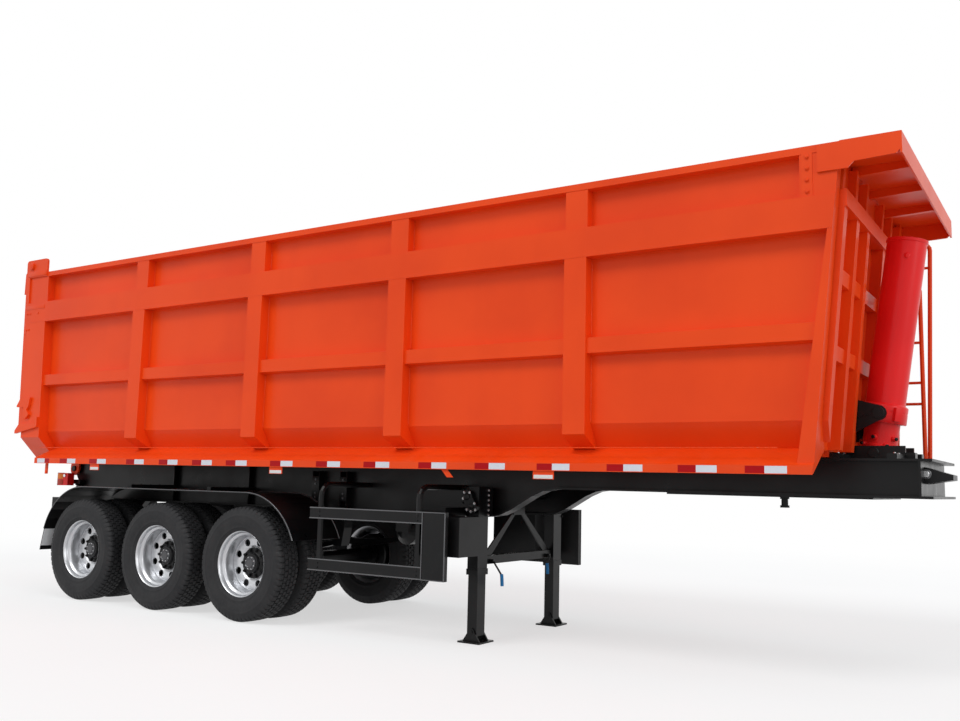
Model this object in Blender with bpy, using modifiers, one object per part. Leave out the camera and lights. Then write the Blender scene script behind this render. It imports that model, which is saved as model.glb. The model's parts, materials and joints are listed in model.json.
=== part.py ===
"""Three-axle dump semi-trailer: chassis with gooseneck, tipping steel body with a top-hinged
tailgate, front telescopic hoist, six twin wheels and two landing legs.

Metres, +Z up, +X forward, +Y to the trailer's left.  The origin lies on the ground, below the
middle of the overall box.  Lengthwise stations are counted from the rear axle.
"""
import math

import bmesh
import bpy
from mathutils import Matrix, Vector

# Overall reach, from the rear axle to the rearmost and the foremost face
REAR_REACH = 1.45
FRONT_REACH = 8.30
REAR_AXLE_X = (REAR_REACH - FRONT_REACH) / 2
GATE_DEPTH = 0.12          # the tailgate behind the body's rear edge
BODY_REAR_STATION = GATE_DEPTH - REAR_REACH

# Clearances
SEAT_GAP = 0.0003          # between pieces that touch
RUN_GAP = 0.006            # between pieces that move past each other
PIN_GAP = 0.0015           # radial, between a pin and its eye
EMBED = 0.004              # how far one welded piece reaches into the next
OVERRUN = 0.02             # how far a cut runs past the metal

# Wheels and axles
AXLE_COUNT = 3
AXLE_SPACING = 1.20
TYRE_RADIUS = 0.527
TYRE_WIDTH = 0.279
TYRE_TREAD_WIDTH = 0.214
TYRE_SHOULDER_DROP = 0.018
TYRE_BULGE_RADIUS = 0.412
TYRE_BEAD_WIDTH = 0.216
TWIN_PITCH = 0.345
OVER_TYRES_WIDTH = 2.47
RIM_RADIUS = 0.2985
RIM_WALL = 0.013
DISC_RADIUS = 0.250
DISC_THICKNESS = 0.022
HUB_RADIUS = 0.112
HUB_STAND = 0.075
HUB_CAP_RADIUS = 0.078
HUB_CAP_STAND = 0.115
DRUM_RADIUS = 0.212
DRUM_WIDTH = 0.235
SPINDLE_RADIUS = 0.050
SPINDLE_RUN = 0.020
AXLE_TUBE_RADIUS = 0.073
BRAKE_FLANGE_RADIUS = 0.130
BRAKE_FLANGE_WIDTH = 0.030
WHEEL_SEGMENTS = 24
AXLE_SEGMENTS = 20

# Chassis beams
INNER_TYRE_FACE = OVER_TYRES_WIDTH / 2 - TYRE_WIDTH - TWIN_PITCH
BEAM_TO_TYRE = 0.111
BEAM_Y = INNER_TYRE_FACE - BEAM_TO_TYRE
WEB_THICKNESS = 0.016
FLANGE_WIDTH = 0.14
FLANGE_THICKNESS = 0.016
CHASSIS_TOP = 1.555
BEAM_BOTTOM = 1.035
NECK_BOTTOM = 1.285
BEAM_TAIL_BOTTOM = 1.19
HINGE_AHEAD = 0.17         # tipping hinge ahead of the body's rear edge
TIP_HINGE_STATION = BODY_REAR_STATION + HINGE_AHEAD
TAIL_AHEAD = 0.06
TAIL_TAPER = 0.40
BEAM_TAIL_STATION = TIP_HINGE_STATION + TAIL_AHEAD
BEAM_FULL_STATION = BEAM_TAIL_STATION + TAIL_TAPER
NECK_CURVE_REAR_STATION = 4.70
NECK_CURVE_FRONT_STATION = 5.34
NECK_FRONT_STATION = 8.10
CROSS_MEMBER_DEPTH = 0.16
CROSS_MEMBER_WIDTH = 0.09
CROSS_MEMBER_STATIONS = (-0.95, -0.05, 0.85, 1.75, 2.65, 3.55, 4.615)
NECK_MEMBER_DEPTH = 0.14
NECK_MEMBER_STATIONS = (5.45, 6.25)
TIP_HINGE_Z = 1.38
TIP_PIN_RADIUS = 0.032
TIP_EYE_RADIUS = 0.078
TIP_PIN_REACH = 0.072      # from the beam's centre line
EAR_OFFSET = 0.040
EAR_THICKNESS = 0.024
PIN_SHOULDER = 0.018
LAMP_ARM_LENGTH = 0.15
LAMP_ARM_HEIGHT = 0.05
LAMP_ARM_Z = 1.20
LAMP_LENGTH = 0.155
LAMP_WIDTH = 0.085
LAMP_HEIGHT = 0.145
LAMP_BOTTOM = 1.18
BUMPER_STATION = -1.30
BUMPER_DEPTH = 0.09
BUMPER_HEIGHT = 0.14
BUMPER_BOTTOM = 0.90
BUMPER_HALF_WIDTH = 0.72
BUMPER_ARM_WIDTH = 0.08
BUMPER_ARM_LENGTH = 0.14

# Neck fittings
KINGPIN_STATION = 7.06
KINGPIN_RADIUS = 0.0254
KINGPIN_COLLAR_RADIUS = 0.036
KINGPIN_COLLAR_HEIGHT = 0.018
KINGPIN_LENGTH = 0.084
COUPLING_PLATE_LENGTH = 1.50
COUPLING_PLATE_WIDTH = 1.10
COUPLING_PLATE_THICKNESS = 0.012
BOLSTER_LENGTH = 0.090
BOLSTER_WIDTH = 1.16
BOLSTER_WEB = 0.018
COUPLING_HEAD_LOW_Y = -0.42
COUPLING_HEAD_HIGH_Y = -0.20
COUPLING_HEAD_TOP = 0.05   # below the neck's top
COUPLING_HEAD_DEPTH = 0.12
COUPLING_NOSE_DROP = 0.055
COUPLING_NOSE_DEPTH = 0.035

# Body
BODY_HALF_WIDTH = 1.22
SHEET = 0.016
PANEL_RECESS = 0.104
BEND_INSET = 0.131
SHEET_OUTER_Y = BODY_HALF_WIDTH - PANEL_RECESS
FLOOR_TOP = 1.622
FLOOR_THICKNESS = 0.012
FLOOR_EDGE_Y = SHEET_OUTER_Y - BEND_INSET
BEND_Z = 1.785
SHELF_Z = 1.600
SILL_STAND = 0.03
SILL_Y = BODY_HALF_WIDTH + SILL_STAND
SILL_REAR_STATION = -0.89
SILL_TOP = 1.484
SILL_BOTTOM = 1.425
SILL_THICKNESS = 0.012
MID_RAIL_LOW = 2.295
MID_RAIL_HIGH = 2.440
MID_RAIL_SETBACK = 0.025
MID_RAIL_Y = BODY_HALF_WIDTH - MID_RAIL_SETBACK
MID_RAIL_SLOPE = 0.014
BAND_LOW = 3.045
BAND_HIGH = 3.275
EXTENSION_SETBACK = 0.015
EXTENSION_Y = BODY_HALF_WIDTH - EXTENSION_SETBACK
TOP_RAIL_LOW = 3.578
BODY_TOP = 3.630
POST_FIRST_STATION = 0.70
POST_PITCH = 1.713
POST_COUNT = 4
POST_WIDTH = 0.187
POST_FOOT_Z = 1.700
POST_TOE = 0.045
POST_TOE_Y = FLOOR_EDGE_Y + POST_TOE
REAR_POST_WIDTH = 0.345
REAR_LEAN = 0.045          # rearward run for each metre of rise
REAR_FOOT_Z = 1.715
REAR_BEAM_BOTTOM = 1.470
HINGE_CLEAR = 0.020        # rear beam behind the tipping hinge's line
FRONT_FLANGE_FOOT = 0.115
FRONT_FLANGE_HEAD = 0.030
WALL_FOOT_STATION = 7.548  # outer face of the front wall at the shelf
WALL_LEAN = 0.095          # forward run for each metre of rise
WALL_THICKNESS = 0.016
SIDE_FLANGE_AHEAD = 0.045  # side walls ahead of the front wall's outer face
COLUMN_DEPTH = 0.085
COLUMN_WIDTH = 0.090
COLUMN_SHARES = (-0.8607, -0.5410, -0.2459, 0.2459, 0.5410, 0.8607)
COLUMN_FOOT_GAP = 0.005
CROSS_RAIL_END = 0.08
SEAM_STAND = 0.010
SEAM_HALF_HEIGHT = 0.060
SEAM_END = 0.003
CROSS_RAIL_HEIGHT = 0.10
CROSS_RAIL_DEPTH = 0.065
CROSS_RAIL_ZS = (2.20, 2.72)
BEARER_WIDTH = 0.08
BEARER_COUNT = 11
BODY_RAIL_WIDTH = 0.12
BEARER_END = 0.04
BEARER_EDGE = 0.01
BOLT_STRIP_WIDTH = 0.072
BOLT_STRIP_BEHIND = 0.105  # from the canopy cheek's rear end
BOLT_STRIP_STAND = 0.006

# Canopy over the hoist
CANOPY_TIP_STATION = 8.17
CANOPY_LIP_HEIGHT = 0.145
CANOPY_ROOF = 0.010
CANOPY_CHEEK = 0.012
CANOPY_RIB_WIDTH = 0.05
CANOPY_RIB_DEPTH = 0.075
CANOPY_RIB_SHARES = (-0.492, 0.0, 0.492)
CANOPY_CHEEK_STATION = 7.640
CANOPY_STEP_STATION = 7.835
CANOPY_CHEEK_HEIGHT = 0.195
CANOPY_STEP = 0.040
CANOPY_NOSE = 0.030

# Tailgate
GATE_THICKNESS = 0.016
GATE_RIB_DEPTH = 0.075
GATE_RIB_WIDTH = 0.10
GATE_RIB_SHARES = (-0.508, 0.0, 0.508)
GATE_EDGE_GAP = 0.02
GATE_DROP = 0.06
GATE_RAIL_HEIGHT = 0.11
GATE_RAIL_STEP = 0.012
GATE_HINGE_AHEAD = 0.045
GATE_HINGE_STATION = BODY_REAR_STATION + GATE_HINGE_AHEAD
GATE_HINGE_Z = 3.715
GATE_PIN_RADIUS = 0.024
GATE_ARM_THICKNESS = 0.03
LUG_THICKNESS = 0.024
LUG_STAND = 0.012          # lug's outer face outside the extension
LUG_RADIUS = 0.075
LUG_LENGTH = 0.33
LUG_CORNER = 0.035
LUG_STRIP_WIDTH = 0.060
LUG_STRIP_LOW = 2.920
PIN_HEAD_RADIUS = 0.042
PIN_HEAD = 0.012
LATCH_THICKNESS = 0.026
LATCH_BAR_STATION = -1.330
LATCH_BAR_LENGTH = 0.41
LATCH_BAR_Z = 1.760
LATCH_BAR_HEIGHT = 0.050
LATCH_BAR_RISE = 0.070
LATCH_NUB = 0.065
LATCH_NUB_WIDTH = 0.035
LEVER_STATION = -1.330
LEVER_Z = 1.925
LEVER_SIZE = 0.245
LEVER_SHARES = ((0.0, 0.62), (0.22, 0.92), (1.0, 1.0), (0.94, 0.65), (0.80, 0.42), (0.98, 0.2),
                (0.74, 0.0), (0.54, 0.1), (0.53, 0.56), (0.02, 0.56))

# Hoist
HOIST_PIVOT_STATION = 7.755
HOIST_PIVOT_Z = 1.610
HOIST_LEAN = math.radians(8.8)
TRUNNION_REACH = 0.290     # pivot to trunnion, along the hoist
COVER_RADIUS = 0.140
COVER_WALL = 0.007
COVER_START = 0.360
COVER_LENGTH = 1.300
COLLAR_RADIUS = 0.162
COLLAR_CHAMFER = 0.010
CAP_RADIUS = 0.147
CAP_HEIGHT = 0.022
KNOB_RADIUS = 0.034
KNOB_HEIGHT = 0.024
BARREL_RADIUS = 0.122
TUBE_WALL = 0.0095
TUBE_GAP = 0.002
TUBE_RISE = 0.012          # each tube's mouth above the next larger one's
CROWN_RISE = 0.020
CROWN_THICKNESS = 0.012
BARREL_FOOT = 0.045
COVER_SKIRT = 0.060        # below the trunnion
BOSS_GAP = 0.020
PIN_FACE_GAP = 0.0055
STAGE_COUNT = 4
STAGE_LENGTH = 1.50
STAGE_STAND = 0.030
HOIST_SEGMENTS = 20
CRADLE_HALF_WIDTH = 0.20
CRADLE_PLATE = 0.025
CRADLE_BAR_OFFSET = 0.155
CRADLE_BAR_WIDTH = 0.065
CRADLE_BAR_HEIGHT = 0.036
CRADLE_TOP = 1.658
CRADLE_END_LENGTH = 0.060
HOIST_PIN_RADIUS = 0.030
TRUNNION_BOSS_RADIUS = 0.045
BRACKET_THICKNESS = 0.022
BRACKET_Y = 0.215
BRACKET_RISE = 0.115
BRACKET_DROP = 0.180
BRACKET_NOSE_RADIUS = 0.058
BRACKET_FOOT_DEPTH = 0.022
BRACKET_FOOT_WIDTH = 0.050
BRACKET_FOOT_SPARE = 0.012

# Ladder beside the hoist: a low hoop with rungs and a taller grab hoop behind it
HOOP_RADIUS = 0.0165
HOOP_WIDTH = 0.235
HOOP_CORNER = 0.060
LOW_HOOP_Y = 0.455
LOW_HOOP_STATION = 8.010
LOW_HOOP_TOP = 2.955
HIGH_HOOP_Y = 0.535
HIGH_HOOP_STATION = 8.030
HIGH_HOOP_TOP = 3.290
HIGH_HOOP_LEAN = 0.055
HIGH_RUNG_Z = 3.095
RUNG_RADIUS = 0.011
RUNG_ZS = (2.010, 2.175, 2.490, 2.820)
LADDER_FOOT = 0.008

# Landing legs
LEG_STATION = 4.66
LEG_OFFSET = 0.165
LEG_Y = BEAM_Y + LEG_OFFSET
LEG_TUBE_LENGTH = 0.102
LEG_TUBE_WIDTH = 0.150
LEG_INNER_LENGTH = 0.094
LEG_INNER_WIDTH = 0.124
LEG_TOP = 1.290
LEG_TUBE_BOTTOM = 0.560
LEG_BAND_HEIGHT = 0.045
LEG_BAND_STAND = 0.006
FOOT_LENGTH = 0.215
FOOT_WIDTH = 0.228
FOOT_PLATE = 0.014
FOOT_CHEEK = 0.012
FOOT_CHEEK_LENGTH = 0.170
FOOT_PIN_Z = 0.088
FOOT_EYE_RADIUS = 0.032
FOOT_PIN_RADIUS = 0.016
FOOT_PIN_STAND = 0.006
LEG_PLATE_REAR = 0.225
LEG_PLATE_FRONT = 0.085
LEG_PLATE_BOTTOM = 1.040
GEAR_RADIUS = 0.056
GEAR_DEPTH = 0.040
GEAR_SHIFT_X = 0.050
GEAR_SHIFT_Z = 0.080
GEAR_TOP_Z = 1.205
LEG_BAR_LENGTH = 0.050
LEG_BAR_RISE = 0.030
LEG_BAR_HEIGHT = 0.070
LEG_BRACE_WIDTH = 0.055
LEG_BRACE_THICKNESS = 0.014
LEG_BRACE_TOP = 1.100
LEG_BRACE_TOP_Y = 0.060
LEG_BRACE_PLATE_Y = 0.100

# Mudguards, side guards and small pieces
FENDER_RADIUS = 0.655
FENDER_SHEET = 0.006
FENDER_OUTER_Y = OVER_TYRES_WIDTH / 2 + 0.010
FENDER_INNER_Y = INNER_TYRE_FACE - 0.011
FENDER_FRONT_STATION = 2.46
FENDER_FRONT_ANGLE = math.radians(68)
FENDER_REAR_ANGLE = math.radians(73)
FENDER_ARC_STEPS = 7
FENDER_STAY_HALF = 0.025
FENDER_STAY_HEIGHT = 0.040
FENDER_STAY_END = 0.145    # short of the mudguard's outer edge
FLAP_THICKNESS = 0.006
FLAP_LAP = 0.030
FLAP_BOTTOM = 0.485
FLAP_OUT = 0.055
FLAP_SIDE_GAP = 0.012
GUARD_Y = 1.200
GUARD_RAIL_WIDTH = 0.040
GUARD_RAIL_HEIGHT = 0.094
GUARD_REAR_STATION = 3.23
GUARD_PLATE_STATION = 4.465
GUARD_FRONT_STATION = 4.69
GUARD_TOP = 1.078
GUARD_LOW_TOP = 0.630
GUARD_BOTTOM = 0.530
GUARD_HANGER_STATIONS = (3.34, 4.41)
GUARD_HANGER_RADIUS = 0.024
GUARD_HANGER_BEND = 0.100
GUARD_POST_HALF = 0.020
GUARD_POST_INSET = 0.008
SPRING_Y = BEAM_Y
SPRING_PAD_HALF = 0.070
SPRING_CHEEK = 0.012
HANGER_STRAIGHT = 0.120
SPRING_WIDTH = 0.09
SPRING_SEAT = 0.035
SPRING_DEPTH = 0.070
SPRING_SAG = 0.045
HANGER_WIDTH = 0.16
HANGER_FOOT_DROP = 0.10
BOX_STATION = 4.42
BOX_LENGTH = 0.34
BOX_HEIGHT = 0.32
BOX_BOTTOM = 0.72
BOX_Y = 0.93
BOX_WIDTH = 0.34
BOX_ARM_LENGTH = 0.05
BOX_ARM_SHIFT = 0.03
BOX_ARM_RISE = 0.07
LEFT_BOX_STATION = 3.93
LEFT_BOX_LENGTH = 0.48
LEFT_BOX_BOTTOM = 0.61
LEFT_BOX_HEIGHT = 0.42
TANK_STATION = 3.70
TANK_RADIUS = 0.120
TANK_Z = 0.860
TANK_HALF_LENGTH = 0.430
TANK_DOME = 0.035
TANK_STRAP_Y = 0.455
TANK_STRAP_WIDTH = 0.030

ORANGE = (0.76, 0.085, 0.030)
RED = (0.60, 0.010, 0.012)
BLACK = (0.012, 0.012, 0.014)
RUBBER = (0.022, 0.022, 0.024)
SILVER = (0.62, 0.63, 0.65)
CHROME = (0.70, 0.71, 0.73)


def at(station):
    """World X of a station counted forward from the rear axle."""
    return REAR_AXLE_X + station


def wall_x(z):
    """World X of the front wall's outer face at a height."""
    return at(WALL_FOOT_STATION) + WALL_LEAN * (z - SHELF_Z)


def rear_x(z):
    """World X of the body's rear edge at a height."""
    return at(BODY_REAR_STATION) + REAR_LEAN * (BODY_TOP - z)


def clear_scene():
    for old in list(bpy.data.objects):
        bpy.data.objects.remove(old, do_unlink=True)
    for old in list(bpy.data.collections):
        bpy.data.collections.remove(old)


clear_scene()
PARTS = bpy.data.collections.new("dump_semi_trailer")
CUTTERS = bpy.data.collections.new("cutters")
bpy.context.scene.collection.children.link(PARTS)
bpy.context.scene.collection.children.link(CUTTERS)


def paint(name, colour, roughness, metallic):
    made = bpy.data.materials.new(name)
    made.use_nodes = True
    shader = made.node_tree.nodes["Principled BSDF"]
    shader.inputs["Base Color"].default_value = (*colour, 1.0)
    shader.inputs["Roughness"].default_value = roughness
    shader.inputs["Metallic"].default_value = metallic
    return made


ORANGE_PAINT = paint("orange_paint", ORANGE, 0.35, 0.0)
RED_PAINT = paint("red_paint", RED, 0.30, 0.0)
BLACK_PAINT = paint("black_paint", BLACK, 0.45, 0.0)
TYRE_RUBBER = paint("tyre_rubber", RUBBER, 0.85, 0.0)
SILVER_PAINT = paint("silver_paint", SILVER, 0.35, 0.6)
CHROME_ROD = paint("chrome_rod", CHROME, 0.12, 1.0)


def helper(mesh):
    """A piece that is joined to another, kept with the cutters."""
    made = bpy.data.objects.new("piece", mesh)
    CUTTERS.objects.link(made)
    made.hide_render = True
    made.display_type = "WIRE"
    return made


def from_bmesh(work):
    bmesh.ops.recalc_face_normals(work, faces=work.faces)
    mesh = bpy.data.meshes.new("piece")
    work.to_mesh(mesh)
    work.free()
    return helper(mesh)


def block(low_x, high_x, low_y, high_y, low_z, high_z):
    work = bmesh.new()
    bmesh.ops.create_cube(work, size=1.0)
    size = Vector((high_x - low_x, high_y - low_y, high_z - low_z))
    middle = Vector((high_x + low_x, high_y + low_y, high_z + low_z)) / 2
    bmesh.ops.scale(work, vec=size, verts=work.verts)
    bmesh.ops.translate(work, vec=middle, verts=work.verts)
    return from_bmesh(work)


def rod(start, end, radius, sides):
    start = Vector(start)
    end = Vector(end)
    along = end - start
    work = bmesh.new()
    bmesh.ops.create_cone(work, cap_ends=True, segments=sides, radius1=radius, radius2=radius,
                          depth=along.length)
    turn = Vector((0, 0, 1)).rotation_difference(along).to_matrix().to_4x4()
    bmesh.ops.transform(work, matrix=Matrix.Translation((start + end) / 2) @ turn, verts=work.verts)
    return from_bmesh(work)


def mesh_of(curve_object):
    """A curve's own surface as a mesh with its caps welded."""
    bpy.context.view_layer.update()
    seen = curve_object.evaluated_get(bpy.context.evaluated_depsgraph_get())
    mesh = bpy.data.meshes.new_from_object(seen)
    place = curve_object.matrix_world.copy()
    bpy.data.objects.remove(curve_object, do_unlink=True)
    work = bmesh.new()
    work.from_mesh(mesh)
    bmesh.ops.remove_doubles(work, verts=work.verts, dist=0.00005)
    bmesh.ops.transform(work, matrix=place, verts=work.verts)
    return from_bmesh(work)


# A flat outline's own X and Y, and its thickness, laid along two world axes and a third
PLANES = {
    "XZ": Matrix(((1, 0, 0, 0), (0, 0, -1, 0), (0, 1, 0, 0), (0, 0, 0, 1))),
    "YZ": Matrix(((0, 0, 1, 0), (1, 0, 0, 0), (0, 1, 0, 0), (0, 0, 0, 1))),
    "XY": Matrix.Identity(4),
}
THICKNESS_AXIS = {"XZ": Vector((0, 1, 0)), "YZ": Vector((1, 0, 0)), "XY": Vector((0, 0, 1))}


def plate(outline, plane, low, high):
    """An outline in a world plane, extruded from low to high along the third axis."""
    data = bpy.data.curves.new("outline", "CURVE")
    data.dimensions = "2D"
    data.fill_mode = "BOTH"
    data.extrude = (high - low) / 2
    line = data.splines.new("POLY")
    line.points.add(len(outline) - 1)
    for point, (across, up) in zip(line.points, outline):
        point.co = (across, up, 0, 1)
    line.use_cyclic_u = True
    made = bpy.data.objects.new("outline", data)
    CUTTERS.objects.link(made)
    made.matrix_world = Matrix.Translation(THICKNESS_AXIS[plane] * (high + low) / 2) @ PLANES[plane]
    return mesh_of(made)


def carved(piece, cutter):
    """The piece with the cutter's shape taken out."""
    step = piece.modifiers.new("cut", "BOOLEAN")
    step.operation = "DIFFERENCE"
    step.solver = "EXACT"
    step.object = cutter
    return mesh_of(piece)


def leaned(piece):
    """The piece sheared to the body's leaning rear edge."""
    for vertex in piece.data.vertices:
        vertex.co.x += REAR_LEAN * (BODY_TOP - vertex.co.z)
    return piece


def pipe(points, radius):
    data = bpy.data.curves.new("route", "CURVE")
    data.dimensions = "3D"
    data.bevel_depth = radius
    data.bevel_resolution = 2
    data.use_fill_caps = True
    line = data.splines.new("POLY")
    line.points.add(len(points) - 1)
    for point, place in zip(line.points, points):
        point.co = (*place, 1)
    made = bpy.data.objects.new("route", data)
    CUTTERS.objects.link(made)
    return mesh_of(made)


def turned(profile, segments, place):
    """A profile of (radius, height) points turned about its own Z, then put in place."""
    mesh = bpy.data.meshes.new("profile")
    work = bmesh.new()
    points = [work.verts.new((radius, 0, height)) for radius, height in profile]
    ends = [(0, 1)] if profile[0][0] == 0 and profile[-1][0] == 0 else [(0, 1), (len(points) - 1, 0)]
    edges = [(step, step + 1) for step in range(1, len(points) - 1)] + ends
    for first, second in edges:
        work.edges.new((points[first], points[second]))
    work.to_mesh(mesh)
    work.free()
    made = helper(mesh)
    screw = made.modifiers.new("turn", "SCREW")
    screw.axis = "Z"
    screw.steps = segments
    screw.render_steps = segments
    screw.use_merge_vertices = True
    screw.merge_threshold = 0.00005
    screw.use_normal_calculate = True
    bpy.context.view_layer.update()
    seen = made.evaluated_get(bpy.context.evaluated_depsgraph_get())
    result = bpy.data.meshes.new_from_object(seen)
    bpy.data.objects.remove(made, do_unlink=True)
    work = bmesh.new()
    work.from_mesh(result)
    bmesh.ops.remove_doubles(work, verts=work.verts, dist=0.00005)
    bmesh.ops.transform(work, matrix=place, verts=work.verts)
    return from_bmesh(work)


def mirrored(piece):
    """The same piece on the other side of the trailer."""
    work = bmesh.new()
    work.from_mesh(piece.data)
    bmesh.ops.scale(work, vec=Vector((1, -1, 1)), verts=work.verts)
    bmesh.ops.reverse_faces(work, faces=work.faces)
    return from_bmesh(work)


def node(name, material, pieces, cuts=()):
    """One named part: the first piece with the others joined to it and the cuts taken out."""
    base = pieces[0]
    for piece in list(pieces[1:]) + list(cuts):
        step = base.modifiers.new("join", "BOOLEAN")
        step.operation = "DIFFERENCE" if piece in cuts else "UNION"
        step.solver = "EXACT"
        step.object = piece
    CUTTERS.objects.unlink(base)
    PARTS.objects.link(base)
    base.name = name
    base.hide_render = False
    base.display_type = "TEXTURED"
    base.data.materials.clear()
    base.data.materials.append(material)
    return base


def set_origin(part, place):
    """Move a part's origin to its joint axis without moving the part."""
    offset = Vector(place)
    part.data.transform(Matrix.Translation(-offset))
    part.location = offset


def along_y(x, y, z):
    """Lays a turned piece's axis along world Y, with its height pointing outward to +Y."""
    return Matrix.Translation((x, y, z)) @ Matrix.Rotation(-math.pi / 2, 4, "X")


# Wheels
TWIN_MIDDLE_Y = OVER_TYRES_WIDTH / 2 - TYRE_WIDTH / 2 - TWIN_PITCH / 2
AXLE_Z = TYRE_RADIUS


def tyre_profile():
    half = TYRE_WIDTH / 2
    bead = TYRE_BEAD_WIDTH / 2
    tread = TYRE_TREAD_WIDTH / 2
    shoulder = TYRE_RADIUS - TYRE_SHOULDER_DROP * 2
    shoulder_half = (half + tread) / 2
    bore = RIM_RADIUS + SEAT_GAP
    return [(bore, -bead), (bore, bead), (TYRE_BULGE_RADIUS, half), (shoulder, shoulder_half),
            (TYRE_RADIUS, tread), (TYRE_RADIUS, -tread), (shoulder, -shoulder_half),
            (TYRE_BULGE_RADIUS, -half)]


def wheel_profile():
    """Both rims, their discs, the hub and its cap, and the brake drum, in one section."""
    rim_end = TWIN_PITCH / 2 + TYRE_BEAD_WIDTH / 2
    inner = RIM_RADIUS - RIM_WALL
    disc = DISC_THICKNESS / 2
    bore = SPINDLE_RADIUS + PIN_GAP
    drum_end = -disc - DRUM_WIDTH
    return [(0, HUB_CAP_STAND), (HUB_CAP_RADIUS * 0.7, HUB_CAP_STAND), (HUB_CAP_RADIUS, HUB_STAND),
            (HUB_RADIUS, HUB_STAND * 0.8), (HUB_RADIUS, disc), (DISC_RADIUS, disc),
            (inner, rim_end * 0.45), (inner, rim_end), (RIM_RADIUS, rim_end),
            (RIM_RADIUS, -rim_end), (inner, -rim_end), (inner, -rim_end * 0.45),
            (DISC_RADIUS, -disc), (DRUM_RADIUS, -disc), (DRUM_RADIUS, drum_end),
            (bore, drum_end), (bore, SPINDLE_RUN + SEAT_GAP), (0, SPINDLE_RUN + SEAT_GAP)]


def make_wheels():
    for number in range(AXLE_COUNT):
        x = at(AXLE_SPACING * number)
        for side, sign in (("right", -1), ("left", 1)):
            middle = along_y(x, TWIN_MIDDLE_Y, AXLE_Z)
            pieces = {"wheel": (SILVER_PAINT, wheel_profile(), WHEEL_SEGMENTS, 0),
                      "tyre_outer": (TYRE_RUBBER, tyre_profile(), WHEEL_SEGMENTS, TWIN_PITCH / 2),
                      "tyre_inner": (TYRE_RUBBER, tyre_profile(), WHEEL_SEGMENTS, -TWIN_PITCH / 2)}
            for kind, (material, profile, segments, shift) in pieces.items():
                made = turned(profile, segments, middle @ Matrix.Translation((0, 0, shift)))
                if sign < 0:
                    other = mirrored(made)
                    bpy.data.objects.remove(made, do_unlink=True)
                    made = other
                part = node(f"{kind}_{number + 1}_{side}", material, [made])
                set_origin(part, (x, sign * TWIN_MIDDLE_Y, AXLE_Z))


def make_axles():
    drum_face = TWIN_MIDDLE_Y - DISC_THICKNESS / 2 - DRUM_WIDTH
    flange_out = drum_face - RUN_GAP
    flange_in = flange_out - BRAKE_FLANGE_WIDTH
    tip = TWIN_MIDDLE_Y + SPINDLE_RUN
    half = [(SPINDLE_RADIUS, tip), (SPINDLE_RADIUS, flange_out), (BRAKE_FLANGE_RADIUS, flange_out),
            (BRAKE_FLANGE_RADIUS, flange_in), (AXLE_TUBE_RADIUS, flange_in)]
    other = [(radius, -y) for radius, y in reversed(half)]
    profile = [(0, tip)] + half + other + [(0, -tip)]
    for number in range(AXLE_COUNT):
        x = at(AXLE_SPACING * number)
        beam = turned(profile, AXLE_SEGMENTS, along_y(x, 0, AXLE_Z))
        node(f"axle_{number + 1}", BLACK_PAINT, [beam])


def beam_lower_edge():
    """The beams' underside from the tail forward: tail taper, deep part, neck curve, neck."""
    points = [(at(BEAM_TAIL_STATION), BEAM_TAIL_BOTTOM), (at(BEAM_FULL_STATION), BEAM_BOTTOM)]
    start = at(NECK_CURVE_REAR_STATION)
    run = at(NECK_CURVE_FRONT_STATION) - start
    rise = NECK_BOTTOM - BEAM_BOTTOM
    steps = 6
    for step in range(steps + 1):
        share = step / steps
        points.append((start + run * share, BEAM_BOTTOM + rise * (1 - math.cos(math.pi * share)) / 2))
    points.append((at(NECK_FRONT_STATION), NECK_BOTTOM))
    return points


def circle_points(x, z, radius, start, stop, steps):
    return [(x + radius * math.cos(start + (stop - start) * step / steps),
             z + radius * math.sin(start + (stop - start) * step / steps))
            for step in range(steps + 1)]


def make_beam():
    """The left beam: web with a rounded tail, two flanges and the tipping pin."""
    low = beam_lower_edge()
    hinge_x = at(TIP_HINGE_STATION)
    tail = circle_points(hinge_x, TIP_HINGE_Z, TIP_EYE_RADIUS, math.pi * 1.45, math.pi * 0.55, 6)
    top = CHASSIS_TOP - FLANGE_THICKNESS / 2
    web_line = [(x, z + FLANGE_THICKNESS / 2) for x, z in low]
    outline = web_line + [(at(NECK_FRONT_STATION), top), (hinge_x + TIP_EYE_RADIUS + RUN_GAP, top)]
    outline = outline + list(reversed(tail))
    web = plate(outline, "XZ", BEAM_Y - WEB_THICKNESS / 2, BEAM_Y + WEB_THICKNESS / 2)
    inner = BEAM_Y - FLANGE_WIDTH / 2
    outer = BEAM_Y + FLANGE_WIDTH / 2
    front = at(NECK_FRONT_STATION) + EMBED
    top_flange = block(hinge_x + TIP_EYE_RADIUS + RUN_GAP, front, inner, outer,
                       CHASSIS_TOP - FLANGE_THICKNESS, CHASSIS_TOP)
    strip = low + [(x, z + FLANGE_THICKNESS) for x, z in reversed(low)]
    bottom_flange = plate(strip, "XZ", inner, outer)
    pin = rod((hinge_x, BEAM_Y - TIP_PIN_REACH, TIP_HINGE_Z),
              (hinge_x, BEAM_Y + TIP_PIN_REACH, TIP_HINGE_Z), TIP_PIN_RADIUS, 16)
    seat = EAR_OFFSET - EAR_THICKNESS / 2 - SEAT_GAP
    shoulder = rod((hinge_x, BEAM_Y - seat, TIP_HINGE_Z), (hinge_x, BEAM_Y + seat, TIP_HINGE_Z),
                   TIP_PIN_RADIUS + PIN_SHOULDER, 20)
    arm = block(hinge_x, hinge_x + LAMP_ARM_LENGTH, BEAM_Y, outer + EMBED, LAMP_ARM_Z,
                LAMP_ARM_Z + LAMP_ARM_HEIGHT)
    return [web, shoulder, pin, top_flange, bottom_flange, arm]


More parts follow.
